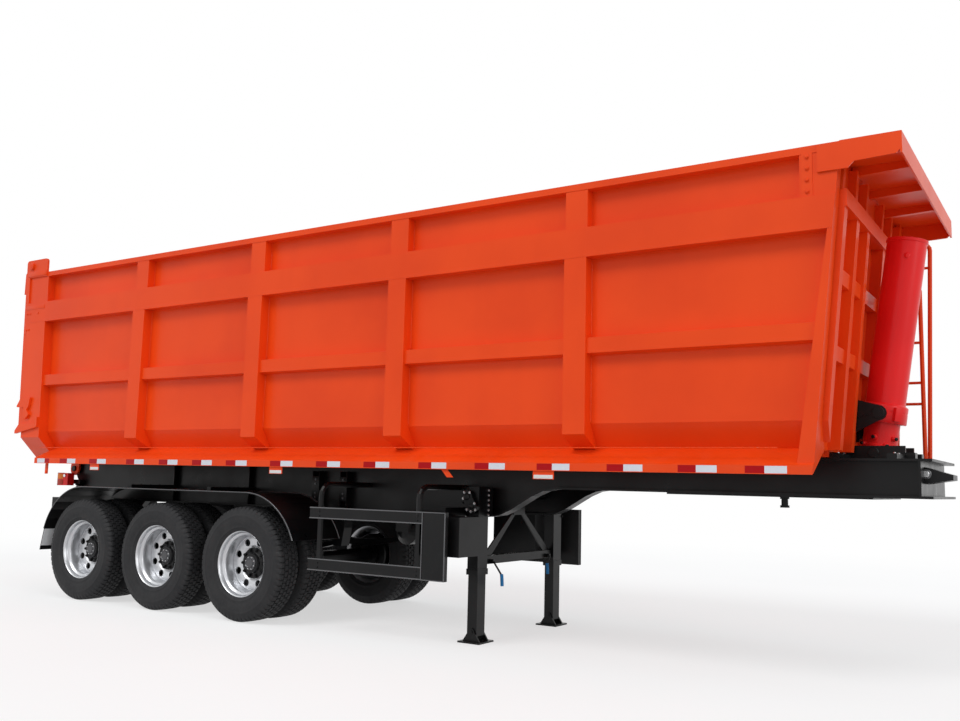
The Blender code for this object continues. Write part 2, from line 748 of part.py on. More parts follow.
def make_frame():
    node("frame_beam_left", BLACK_PAINT, make_beam())
    right = [mirrored(piece) for piece in make_beam()]
    reach = BEAM_Y - WEB_THICKNESS / 2 - SEAT_GAP
    for station in CROSS_MEMBER_STATIONS:
        middle = (BEAM_BOTTOM + CHASSIS_TOP) / 2
        right.append(block(at(station), at(station) + CROSS_MEMBER_WIDTH, -BEAM_Y, reach,
                           middle - CROSS_MEMBER_DEPTH / 2, middle + CROSS_MEMBER_DEPTH / 2))
    for station in NECK_MEMBER_STATIONS:
        middle = (NECK_BOTTOM + CHASSIS_TOP) / 2
        right.append(block(at(station), at(station) + CROSS_MEMBER_WIDTH, -BEAM_Y, reach,
                           middle - NECK_MEMBER_DEPTH / 2, middle + NECK_MEMBER_DEPTH / 2))
    node("frame_beam_right", BLACK_PAINT, right)


def make_neck_fittings():
    half = COUPLING_PLATE_WIDTH / 2
    top = NECK_BOTTOM - SEAT_GAP
    under = top - COUPLING_PLATE_THICKNESS
    x = at(KINGPIN_STATION)
    skid = block(x - COUPLING_PLATE_LENGTH / 2, x + COUPLING_PLATE_LENGTH / 2, -half, half, under, top)
    pin = turned([(0, EMBED), (KINGPIN_COLLAR_RADIUS, EMBED),
                  (KINGPIN_COLLAR_RADIUS, -KINGPIN_COLLAR_HEIGHT),
                  (KINGPIN_RADIUS, -KINGPIN_COLLAR_HEIGHT),
                  (KINGPIN_RADIUS, KINGPIN_COLLAR_HEIGHT - KINGPIN_LENGTH),
                  (KINGPIN_COLLAR_RADIUS, KINGPIN_COLLAR_HEIGHT - KINGPIN_LENGTH),
                  (KINGPIN_COLLAR_RADIUS, -KINGPIN_LENGTH), (0, -KINGPIN_LENGTH)],
                 12, Matrix.Translation((x, 0, under)))
    node("kingpin_plate", BLACK_PAINT, [skid, pin])
    front = at(NECK_FRONT_STATION) + EMBED + SEAT_GAP
    half = BOLSTER_WIDTH / 2
    web = block(front + EMBED / 2, front + BOLSTER_WEB, EMBED - half, half - EMBED, NECK_BOTTOM + EMBED,
                CHASSIS_TOP - EMBED)
    upper = block(front, front + BOLSTER_LENGTH, -half, half, CHASSIS_TOP - BOLSTER_WEB, CHASSIS_TOP)
    lower = block(front, front + BOLSTER_LENGTH, -half, half, NECK_BOTTOM, NECK_BOTTOM + BOLSTER_WEB)
    root = front + BOLSTER_WEB / 2
    head_top = CHASSIS_TOP - COUPLING_HEAD_TOP
    nose_top = head_top - COUPLING_NOSE_DROP
    head = plate([(root, head_top), (at(FRONT_REACH), nose_top),
                  (at(FRONT_REACH), nose_top - COUPLING_NOSE_DEPTH), (root, head_top - COUPLING_HEAD_DEPTH)],
                 "XZ", COUPLING_HEAD_LOW_Y, COUPLING_HEAD_HIGH_Y)
    node("front_bolster", BLACK_PAINT, [web, upper, lower, head])


def make_tail():
    """The rear lamps on the beams' arms and the bumper bar below the beams' tails."""
    lamp_x = at(TIP_HINGE_STATION) - EMBED
    lamp_y = BEAM_Y + FLANGE_WIDTH / 2 + EMBED + SEAT_GAP
    lamp = block(lamp_x - LAMP_LENGTH, lamp_x + BUMPER_ARM_WIDTH / 2, lamp_y, lamp_y + LAMP_WIDTH,
                 LAMP_BOTTOM, LAMP_BOTTOM + LAMP_HEIGHT)
    node("rear_lamp_right", RED_PAINT, [mirrored(lamp)])
    node("rear_lamp_left", RED_PAINT, [lamp])
    rear = at(BUMPER_STATION)
    top = BUMPER_BOTTOM + BUMPER_HEIGHT
    bar = block(rear, rear + BUMPER_DEPTH, -BUMPER_HALF_WIDTH, BUMPER_HALF_WIDTH, BUMPER_BOTTOM, top)
    pieces = [bar]
    start = at(BEAM_TAIL_STATION)
    slope = (BEAM_BOTTOM - BEAM_TAIL_BOTTOM) / TAIL_TAPER
    end = start + BUMPER_ARM_LENGTH
    seat = BEAM_TAIL_BOTTOM - SEAT_GAP
    outline = [(rear + EMBED, BUMPER_BOTTOM + EMBED), (rear + BUMPER_DEPTH, BUMPER_BOTTOM + EMBED),
               (end, seat + slope * BUMPER_ARM_LENGTH), (start, seat), (rear + EMBED, top - EMBED)]
    for sign in (-1, 1):
        low, high = sorted((sign * (BEAM_Y - BUMPER_ARM_WIDTH / 2), sign * (BEAM_Y + BUMPER_ARM_WIDTH / 2)))
        pieces.append(plate(outline, "XZ", low, high))
    node("rear_bumper", BLACK_PAINT, pieces)


def make_suspension():
    axle_top = AXLE_Z + AXLE_TUBE_RADIUS
    seat_z = axle_top + SPRING_SEAT
    half = SPRING_WIDTH / 2
    hanger_top = BEAM_BOTTOM - SEAT_GAP
    eye_z = seat_z + SPRING_DEPTH + SPRING_SAG
    pieces = []
    for number in range(AXLE_COUNT):
        x = at(AXLE_SPACING * number)
        reach = AXLE_SPACING / 2
        steps = 6
        lower = []
        upper = []
        for step in range(steps + 1):
            share = 2 * step / steps - 1
            rise = SPRING_SAG * share * share
            lower.append((x + reach * share, seat_z + rise + SPRING_DEPTH * 0.55 * share * share))
            upper.append((x + reach * share, seat_z + SPRING_DEPTH + rise))
        pieces.append(plate(lower + list(reversed(upper)), "XZ", SPRING_Y - half, SPRING_Y + half))
        pieces.append(block(x - SPRING_PAD_HALF, x + SPRING_PAD_HALF, SPRING_Y - half - SPRING_CHEEK,
                            SPRING_Y + half + SPRING_CHEEK,
                            axle_top + SEAT_GAP, seat_z + EMBED))
    for number in range(AXLE_COUNT + 1):
        x = at(AXLE_SPACING * (number - 1 / 2))
        foot = HANGER_WIDTH * 0.32
        straight = eye_z + HANGER_STRAIGHT
        pieces.append(plate([(x - HANGER_WIDTH / 2, hanger_top), (x - HANGER_WIDTH / 2, straight),
                             (x - foot, eye_z - HANGER_FOOT_DROP / 2),
                             (x + foot, eye_z - HANGER_FOOT_DROP / 2),
                             (x + HANGER_WIDTH / 2, straight), (x + HANGER_WIDTH / 2, hanger_top)],
                            "XZ", SPRING_Y - half - SPRING_CHEEK, SPRING_Y + half + SPRING_CHEEK))
    ordered = [pieces[-1]] + pieces[:-1]
    node("suspension_right", BLACK_PAINT, [mirrored(piece) for piece in ordered])
    node("suspension_left", BLACK_PAINT, ordered)


def make_legs():
    x = at(LEG_STATION)
    half_x = LEG_TUBE_LENGTH / 2
    half_y = LEG_TUBE_WIDTH / 2
    inner_x = LEG_INNER_LENGTH / 2
    inner_y = LEG_INNER_WIDTH / 2
    band = LEG_BAND_STAND
    outer = block(x - half_x, x + half_x, LEG_Y - half_y, LEG_Y + half_y, LEG_TUBE_BOTTOM, LEG_TOP)
    cuff = block(x - half_x - band, x + half_x + band, LEG_Y - half_y - band, LEG_Y + half_y + band,
                 LEG_TUBE_BOTTOM - EMBED, LEG_TUBE_BOTTOM + LEG_BAND_HEIGHT)
    slide = block(x - inner_x, x + inner_x, LEG_Y - inner_y, LEG_Y + inner_y,
                  FOOT_PIN_Z - FOOT_EYE_RADIUS, LEG_TUBE_BOTTOM + EMBED)
    foot = block(x - FOOT_LENGTH / 2, x + FOOT_LENGTH / 2, LEG_Y - FOOT_WIDTH / 2,
                 LEG_Y + FOOT_WIDTH / 2, 0, FOOT_PLATE)
    cheek = circle_points(x, FOOT_PIN_Z, FOOT_EYE_RADIUS, 0, math.pi, 6)
    cheek += [(x - FOOT_CHEEK_LENGTH / 2, FOOT_PLATE - EMBED), (x + FOOT_CHEEK_LENGTH / 2, FOOT_PLATE - EMBED)]
    pieces = [outer, cuff, slide, foot]
    for side in (-1, 1):
        low, high = sorted((side * (inner_y - EMBED), side * (inner_y + FOOT_CHEEK)))
        pieces.append(plate(cheek, "XZ", LEG_Y + low, LEG_Y + high))
    reach = inner_y + FOOT_CHEEK + FOOT_PIN_STAND
    pieces.append(rod((x, LEG_Y - reach, FOOT_PIN_Z), (x, LEG_Y + reach, FOOT_PIN_Z), FOOT_PIN_RADIUS, 12))
    pieces.append(block(x - LEG_PLATE_REAR, x + LEG_PLATE_FRONT, BEAM_Y + FLANGE_WIDTH / 2 + SEAT_GAP,
                        LEG_Y - half_y + EMBED, LEG_PLATE_BOTTOM, LEG_TOP - EMBED))
    gear = circle_points(x - GEAR_SHIFT_X, GEAR_TOP_Z, GEAR_RADIUS, 0, math.pi, 6)
    gear += circle_points(x, GEAR_TOP_Z - GEAR_SHIFT_Z, GEAR_RADIUS, math.pi, math.pi * 2, 6)
    pieces.append(plate(gear, "XZ", LEG_Y + half_y - EMBED, LEG_Y + half_y + GEAR_DEPTH))
    node("landing_leg_right", BLACK_PAINT, [mirrored(piece) for piece in pieces])
    node("landing_leg_left", BLACK_PAINT, pieces)
    reach = LEG_Y - half_y - SEAT_GAP
    low = LEG_TUBE_BOTTOM + LEG_BAND_HEIGHT + LEG_BAR_RISE
    high = low + LEG_BAR_HEIGHT
    bar = block(x - LEG_BAR_LENGTH / 2, x + LEG_BAR_LENGTH / 2, -reach, reach, low, high)
    middle = (BEAM_BOTTOM + CHASSIS_TOP) / 2
    seat = middle - CROSS_MEMBER_DEPTH / 2 - SEAT_GAP
    crown = block(x - LEG_BRACE_THICKNESS, x + LEG_BRACE_THICKNESS, -LEG_BRACE_PLATE_Y, LEG_BRACE_PLATE_Y,
                  LEG_BRACE_TOP - LEG_BRACE_WIDTH, seat)
    pieces = [bar, crown]
    for sign in (-1, 1):
        brace = [(sign * (reach - EMBED), low + EMBED), (sign * (reach - LEG_BRACE_WIDTH), low + EMBED),
                 (sign * (LEG_BRACE_TOP_Y - LEG_BRACE_WIDTH), LEG_BRACE_TOP - EMBED),
                 (sign * LEG_BRACE_TOP_Y, LEG_BRACE_TOP - EMBED),
                 (sign * (reach - EMBED), high - EMBED)]
        pieces.append(plate(brace, "YZ", x - LEG_BRACE_THICKNESS / 2, x + LEG_BRACE_THICKNESS / 2))
    node("leg_cross_bar", BLACK_PAINT, pieces)


def fender_outline():
    """The mudguard's side outline: an arc at each end and a straight top."""
    rear = circle_points(at(0), AXLE_Z, FENDER_RADIUS, math.pi / 2 + FENDER_REAR_ANGLE, math.pi / 2,
                         FENDER_ARC_STEPS)
    front = circle_points(at(FENDER_FRONT_STATION), AXLE_Z, FENDER_RADIUS, math.pi / 2,
                          math.pi / 2 - FENDER_FRONT_ANGLE, FENDER_ARC_STEPS)
    outside = rear + front
    centre_rear = Vector((at(0), AXLE_Z))
    centre_front = Vector((at(FENDER_FRONT_STATION), AXLE_Z))
    share = (FENDER_RADIUS - FENDER_SHEET) / FENDER_RADIUS
    inside = [tuple(centre_rear + (Vector(point) - centre_rear) * share) for point in rear]
    inside += [tuple(centre_front + (Vector(point) - centre_front) * share) for point in front]
    return outside + list(reversed(inside))


def make_fenders():
    for side, sign in (("right", -1), ("left", 1)):
        low, high = sorted((sign * FENDER_INNER_Y, sign * FENDER_OUTER_Y))
        guard = plate(fender_outline(), "XZ", low, high)
        stays = []
        for station in (AXLE_SPACING / 2, AXLE_SPACING * 3 / 2):
            top = AXLE_Z + FENDER_RADIUS
            near, far = sorted((sign * (BEAM_Y + WEB_THICKNESS / 2 + SEAT_GAP),
                                sign * (FENDER_OUTER_Y - FENDER_STAY_END)))
            stays.append(block(at(station) - FENDER_STAY_HALF, at(station) + FENDER_STAY_HALF, near, far,
                               top - EMBED, top + FENDER_STAY_HEIGHT))
        node(f"fender_{side}", BLACK_PAINT, [guard] + stays)
        low, high = sorted((sign * (FENDER_INNER_Y + FLAP_SIDE_GAP), sign * (FENDER_OUTER_Y - FLAP_SIDE_GAP)))
        node(f"mud_flap_{side}", BLACK_PAINT, [plate(flap_outline(), "XZ", low, high)])


def flap_outline():
    """The mud flap's side outline: lapped on the mudguard's rear end, then hanging down."""
    arc = circle_points(at(0), AXLE_Z, FENDER_RADIUS, math.pi / 2 + FENDER_REAR_ANGLE, math.pi / 2,
                        FENDER_ARC_STEPS)
    end = Vector(arc[0])
    up = (Vector(arc[1]) - end).normalized()
    out = Vector((-up.y, up.x)) * SEAT_GAP
    seat = end + out
    top = seat + up * FLAP_LAP
    bottom = Vector((end.x - FLAP_OUT, FLAP_BOTTOM))
    thick = Vector((-FLAP_THICKNESS, 0))
    return [tuple(point) for point in (top, seat, bottom, bottom + thick, seat + thick, top + thick)]


def make_side_guards():
    for side, sign in (("right", -1), ("left", 1)):
        low, high = sorted((sign * (GUARD_Y - GUARD_RAIL_WIDTH), sign * GUARD_Y))
        rear = at(GUARD_REAR_STATION)
        top_rail = block(rear, at(GUARD_FRONT_STATION) - EMBED, low, high, GUARD_TOP - GUARD_RAIL_HEIGHT,
                         GUARD_TOP - EMBED)
        low_rail = block(rear, at(GUARD_FRONT_STATION) - EMBED, low, high,
                         GUARD_LOW_TOP - GUARD_RAIL_HEIGHT, GUARD_LOW_TOP)
        face = sorted((sign * (GUARD_Y - GUARD_RAIL_WIDTH - EMBED), sign * (GUARD_Y + EMBED)))
        end_plate = block(at(GUARD_PLATE_STATION), at(GUARD_FRONT_STATION), face[0], face[1],
                          GUARD_BOTTOM, GUARD_TOP)
        hangers = []
        middle = sign * (GUARD_Y - GUARD_RAIL_WIDTH / 2)
        for station in GUARD_HANGER_STATIONS:
            x = at(station)
            z = GUARD_TOP - GUARD_RAIL_HEIGHT / 2
            beam = sign * (BEAM_Y + WEB_THICKNESS / 2 + SEAT_GAP)
            bend = GUARD_HANGER_BEND
            route = [(x, middle, z), (x, middle, GUARD_TOP + bend)]
            route += [(x, middle - sign * bend * (1 - math.cos(turn)), GUARD_TOP + bend + bend * math.sin(turn))
                      for turn in (math.pi / 8, math.pi / 4, math.pi * 3 / 8, math.pi / 2)]
            route.append((x, beam, GUARD_TOP + bend * 2))
            hangers.append(pipe(route, GUARD_HANGER_RADIUS))
            hangers.append(block(x - GUARD_POST_HALF, x + GUARD_POST_HALF, low + GUARD_POST_INSET,
                                 high - GUARD_POST_INSET, GUARD_LOW_TOP - GUARD_RAIL_HEIGHT / 2, z))
        node(f"side_guard_{side}", BLACK_PAINT, [end_plate, top_rail, low_rail] + hangers)


def make_tool_boxes():
    """The tool box on the right, the deeper one on the left, and the air tank between the beams."""
    arm_y = BEAM_Y + FLANGE_WIDTH / 2 + SEAT_GAP
    top = BOX_BOTTOM + BOX_HEIGHT
    case = block(at(BOX_STATION), at(BOX_STATION) + BOX_LENGTH, -BOX_Y - BOX_WIDTH / 2, -BOX_Y + BOX_WIDTH / 2,
                 BOX_BOTTOM, top)
    arm_x = at(BOX_STATION) + BOX_ARM_SHIFT
    plate_y = LEG_Y - LEG_TUBE_WIDTH / 2 + EMBED + SEAT_GAP
    arm = block(arm_x, arm_x + BOX_ARM_LENGTH, -BOX_Y, -plate_y, top - EMBED, top + BOX_ARM_RISE)
    node("tool_box", BLACK_PAINT, [case, arm])
    start = at(LEFT_BOX_STATION)
    case = block(start, start + LEFT_BOX_LENGTH, BOX_Y - BOX_WIDTH / 2, BOX_Y + BOX_WIDTH / 2,
                 LEFT_BOX_BOTTOM, LEFT_BOX_BOTTOM + LEFT_BOX_HEIGHT)
    pieces = [case]
    for arm_x in (start + BOX_ARM_SHIFT, start + LEFT_BOX_LENGTH - BOX_ARM_SHIFT - BOX_ARM_LENGTH):
        pieces.append(block(arm_x, arm_x + BOX_ARM_LENGTH, arm_y, BOX_Y, LEFT_BOX_BOTTOM + LEFT_BOX_HEIGHT - EMBED,
                            LEFT_BOX_BOTTOM + LEFT_BOX_HEIGHT + BOX_ARM_RISE))
    node("tool_box_left", BLACK_PAINT, pieces)
    x = at(TANK_STATION)
    half = TANK_HALF_LENGTH
    tank = turned([(0, half + TANK_DOME), (TANK_RADIUS / 2, half + TANK_DOME / 2), (TANK_RADIUS, half - TANK_DOME),
                   (TANK_RADIUS, TANK_DOME - half), (TANK_RADIUS / 2, -half - TANK_DOME / 2),
                   (0, -half - TANK_DOME)], HOIST_SEGMENTS, along_y(x, 0, TANK_Z))
    pieces = [tank]
    for sign in (-1, 1):
        edge = half - TANK_DOME - EMBED
        low, high = sorted((sign * (edge - TANK_STRAP_WIDTH), sign * (TANK_STRAP_Y + TANK_STRAP_WIDTH / 2)))
        strap = [(x - TANK_RADIUS * 0.6, TANK_Z), (x + TANK_RADIUS * 0.6, TANK_Z),
                 (x + TANK_RADIUS * 0.6, BEAM_BOTTOM - SEAT_GAP), (x - TANK_RADIUS * 0.6, BEAM_BOTTOM - SEAT_GAP)]
        pieces.append(plate(strap, "XZ", low, high))
    node("air_tank", BLACK_PAINT, pieces)


# Body
def wall_section():
    """The left side wall's section in Y and Z: rails, bands, sheet, bend, shelf and sill."""
    inner = SHEET_OUTER_Y - SHEET
    toe = FLOOR_EDGE_Y
    return [(inner, BODY_TOP), (EXTENSION_Y, BODY_TOP), (EXTENSION_Y, TOP_RAIL_LOW),
            (SHEET_OUTER_Y, TOP_RAIL_LOW), (SHEET_OUTER_Y, BAND_HIGH), (BODY_HALF_WIDTH, BAND_HIGH),
            (BODY_HALF_WIDTH, BAND_LOW), (SHEET_OUTER_Y, BAND_LOW),
            (SHEET_OUTER_Y, MID_RAIL_HIGH), (MID_RAIL_Y, MID_RAIL_HIGH - MID_RAIL_SLOPE),
            (MID_RAIL_Y, MID_RAIL_LOW + MID_RAIL_SLOPE), (SHEET_OUTER_Y, MID_RAIL_LOW),
            (SHEET_OUTER_Y, BEND_Z), (toe + SHEET * 1.2, SHELF_Z + EMBED),
            (SILL_Y, SILL_TOP), (SILL_Y, SILL_BOTTOM), (SILL_Y - SILL_THICKNESS, SILL_BOTTOM),
            (SILL_Y - SILL_THICKNESS, SILL_TOP - SILL_THICKNESS * 0.7), (toe, SHELF_Z - SHEET),
            (toe, SHELF_Z + SHEET), (inner, BEND_Z + EMBED)]


def post_section():
    """A post's section: upright face, foot sloping in under the bend."""
    root = SHEET_OUTER_Y - SHEET / 2
    return [(root, BAND_LOW + EMBED), (BODY_HALF_WIDTH - EMBED / 2, BAND_LOW + EMBED),
            (BODY_HALF_WIDTH - EMBED / 2, POST_FOOT_Z), (POST_TOE_Y, SHELF_Z - EMBED),
            (FLOOR_EDGE_Y + SHEET * 0.6, SHELF_Z), (root, BEND_Z)]


def front_cutter():
    """Takes off all that lies ahead of the leaning front wall."""
    low = SILL_BOTTOM - OVERRUN
    high = BODY_TOP + OVERRUN
    foot = wall_x(low) + SIDE_FLANGE_AHEAD
    top = wall_x(high) + SIDE_FLANGE_AHEAD
    far = at(FRONT_REACH)
    return plate([(foot, low), (far, low), (far, high), (top, high)],
                 "XZ", -SILL_Y - OVERRUN, SILL_Y + OVERRUN)


def rear_post_section():
    """The rear post's section: upright face and a foot cut away to the rear beam's level."""
    root = SHEET_OUTER_Y - SHEET / 2
    return [(root, BAND_LOW + EMBED), (BODY_HALF_WIDTH - EMBED / 2, BAND_LOW + EMBED),
            (BODY_HALF_WIDTH - EMBED / 2, REAR_FOOT_Z), (FLOOR_EDGE_Y, REAR_BEAM_BOTTOM),
            (FLOOR_EDGE_Y, SHELF_Z - SHEET / 2), (FLOOR_EDGE_Y + SHEET * 0.6, SHELF_Z), (root, BEND_Z)]


def front_flange_section():
    """The section of the plate that closes the side wall's front edge down to the sill."""
    root = SHEET_OUTER_Y - SHEET / 2
    face = BODY_HALF_WIDTH - EMBED / 2
    lip = SILL_Y - EMBED / 2
    return [(root, BAND_LOW + EMBED), (face, BAND_LOW + EMBED), (face, SILL_TOP + EMBED),
            (lip, SILL_TOP - EMBED), (lip, SILL_BOTTOM + EMBED), (SILL_Y - SILL_THICKNESS * 2, SILL_BOTTOM + EMBED),
            (FLOOR_EDGE_Y + SHEET * 2, SHELF_Z - SHEET * 2), (FLOOR_EDGE_Y + SHEET * 0.6, SHELF_Z),
            (root, BEND_Z)]


def front_flange():
    """The closing plate, wide at the sill and narrow at the upper band."""
    front = wall_x(BODY_TOP) + SIDE_FLANGE_AHEAD + OVERRUN
    start = wall_x(SILL_BOTTOM) + SIDE_FLANGE_AHEAD - FRONT_FLANGE_FOOT
    head = wall_x(BAND_LOW) + SIDE_FLANGE_AHEAD - FRONT_FLANGE_HEAD
    behind = start - OVERRUN
    slab = plate(front_flange_section(), "YZ", behind, front)
    low = SILL_BOTTOM - OVERRUN
    high = BAND_LOW + OVERRUN
    cutter = plate([(start, low), (head, high), (behind - OVERRUN, high), (behind - OVERRUN, low)],
                   "XZ", 0, SILL_Y + OVERRUN)
    return carved(slab, cutter)


def side_skin():
    """The full-length sheet with its rails, cut to the leaning rear edge and without the rear shelf."""
    rear = at(-REAR_REACH)
    front = wall_x(BODY_TOP) + SIDE_FLANGE_AHEAD + OVERRUN
    skin = plate(wall_section(), "YZ", rear, front)
    low = SILL_BOTTOM - OVERRUN
    high = BODY_TOP + OVERRUN
    behind = rear - OVERRUN
    rear_cut = plate([(rear_x(low), low), (rear_x(high), high), (behind, high), (behind, low)],
                     "XZ", 0, SILL_Y + OVERRUN)
    edge = FLOOR_EDGE_Y + SHEET * 1.2
    shelf_cut = plate([(edge, SHELF_Z + EMBED), (SILL_Y + OVERRUN, SHELF_Z + EMBED), (SILL_Y + OVERRUN, low),
                       (edge, low)], "YZ", behind, at(SILL_REAR_STATION))
    return carved(carved(skin, rear_cut), shelf_cut)


def latch_pieces():
    """The lock's hook bar and lever on the rear post."""
    low = BODY_HALF_WIDTH - EMBED
    high = BODY_HALF_WIDTH + LATCH_THICKNESS
    rear = at(LATCH_BAR_STATION)
    front = rear + LATCH_BAR_LENGTH
    rise = LATCH_BAR_Z + LATCH_BAR_RISE
    top = rise + LATCH_BAR_HEIGHT
    bar = [(rear, LATCH_BAR_Z), (front, rise), (front, top + LATCH_NUB), (front - LATCH_NUB_WIDTH, top + LATCH_NUB),
           (front - LATCH_NUB_WIDTH, top), (rear + LATCH_NUB, top - LATCH_NUB_WIDTH / 2),
           (rear, LATCH_BAR_Z + LATCH_NUB_WIDTH)]
    lever = [(at(LEVER_STATION) + LEVER_SIZE * along, LEVER_Z + LEVER_SIZE * up) for along, up in LEVER_SHARES]
    return [plate(bar, "XZ", low, high), plate(lever, "XZ", low, high)]


def side_wall_pieces():
    front = wall_x(BODY_TOP) + SIDE_FLANGE_AHEAD + OVERRUN
    root = SHEET_OUTER_Y - SHEET / 2
    outer = EXTENSION_Y - EMBED
    low = BAND_HIGH - EMBED
    high = TOP_RAIL_LOW + EMBED
    pieces = [side_skin()]
    for number in range(POST_COUNT):
        x = at(POST_FIRST_STATION + POST_PITCH * number)
        pieces.append(plate(post_section(), "YZ", x - POST_WIDTH / 2, x + POST_WIDTH / 2))
        pieces.append(block(x - POST_WIDTH / 2, x + POST_WIDTH / 2, root, outer, low, high))
    rear = at(BODY_REAR_STATION)
    pieces.append(leaned(plate(rear_post_section(), "YZ", rear, rear + REAR_POST_WIDTH)))
    pieces.append(leaned(block(rear, rear + REAR_POST_WIDTH, root, outer, low, high)))
    pieces.append(block(wall_x(BAND_HIGH) - POST_WIDTH, front, root, outer, low, high))
    strip = at(CANOPY_CHEEK_STATION) - BOLT_STRIP_BEHIND
    pieces.append(block(strip, strip + BOLT_STRIP_WIDTH, outer - EMBED, outer + BOLT_STRIP_STAND, low, high))
    pieces.append(front_flange())
    pieces.append(lug_plate())
    return pieces + latch_pieces()


def lug_plate():
    """The upstanding plate that carries the tailgate's pin, with a strip down the post's rear edge."""
    front = at(BODY_REAR_STATION) + LUG_LENGTH
    top = GATE_HINGE_Z + LUG_RADIUS
    rear = rear_x(top) - LUG_STRIP_WIDTH
    corner = circle_points(front - LUG_CORNER, top - LUG_CORNER, LUG_CORNER, 0, math.pi / 2, 3)
    heel = circle_points(rear + LUG_CORNER, top - LUG_CORNER, LUG_CORNER, math.pi / 2, math.pi, 3)
    foot = TOP_RAIL_LOW + EMBED
    outline = [(front + EMBED, foot)] + corner + heel
    outline += [(rear_x(LUG_STRIP_LOW) - LUG_STRIP_WIDTH, LUG_STRIP_LOW),
                (rear_x(LUG_STRIP_LOW) + EMBED, LUG_STRIP_LOW), (rear_x(foot) + EMBED, foot)]
    return plate(outline, "XZ", EXTENSION_Y + LUG_STAND - LUG_THICKNESS, EXTENSION_Y + LUG_STAND)


def make_side_walls():
    left = side_wall_pieces()
    right = [mirrored(piece) for piece in left]
    for side, pieces, sign in (("left", left, 1), ("right", right, -1)):
        low, high = sorted((sign * SHEET_OUTER_Y, sign * (SILL_Y + OVERRUN)))
        hole = rod((at(GATE_HINGE_STATION), low, GATE_HINGE_Z), (at(GATE_HINGE_STATION), high, GATE_HINGE_Z),
                   GATE_PIN_RADIUS + PIN_GAP, 12)
        node(f"side_wall_{side}", ORANGE_PAINT, pieces, [front_cutter(), hole])


def make_floor():
    rear = rear_x(SHELF_Z - GATE_DROP)
    front = wall_x(SHELF_Z) - WALL_THICKNESS - SEAT_GAP
    edge = FLOOR_EDGE_Y - SEAT_GAP
    top = FLOOR_TOP
    under = top - FLOOR_THICKNESS
    rest = CHASSIS_TOP + RUN_GAP
    pieces = [block(rear, front, -edge, edge, under, top)]
    for sign in (-1, 1):
        low, high = sorted((sign * (BEAM_Y - BODY_RAIL_WIDTH / 2), sign * (BEAM_Y + BODY_RAIL_WIDTH / 2)))
        pieces.append(block(rear + EMBED, front - EMBED, low, high, rest, under + EMBED))
        for offset in (-EAR_OFFSET, EAR_OFFSET):
            middle = sign * BEAM_Y + offset
            pieces.append(hinge_ear(middle - EAR_THICKNESS / 2, middle + EAR_THICKNESS / 2))
    hinge = at(TIP_HINGE_STATION)
    pieces.append(block(rear, hinge - HINGE_CLEAR, -edge, edge, REAR_BEAM_BOTTOM, under + EMBED))
    first = hinge + TIP_EYE_RADIUS
    span = front - first - BEARER_END - BEARER_WIDTH
    for number in range(BEARER_COUNT):
        x = first + span * number / (BEARER_COUNT - 1)
        pieces.append(block(x, x + BEARER_WIDTH, BEARER_EDGE - edge, edge - BEARER_EDGE, rest + EMBED, under + EMBED))
    reach = BEAM_Y + TIP_PIN_REACH + OVERRUN
    hole = rod((hinge, -reach, TIP_HINGE_Z), (hinge, reach, TIP_HINGE_Z), TIP_PIN_RADIUS + PIN_GAP, 16)
    part = node("body_floor", ORANGE_PAINT, pieces, [hole])
    return part


def hinge_ear(low_y, high_y):
    x = at(TIP_HINGE_STATION)
    eye = circle_points(x, TIP_HINGE_Z, TIP_EYE_RADIUS, math.pi, math.pi * 2, 8)
    top = FLOOR_TOP - FLOOR_THICKNESS / 2
    rear = rear_x(REAR_BEAM_BOTTOM) + EMBED
    outline = eye + [(x + TIP_EYE_RADIUS, top), (rear, top), (rear, REAR_BEAM_BOTTOM - EMBED)]
    return plate(outline, "XZ", low_y, high_y)


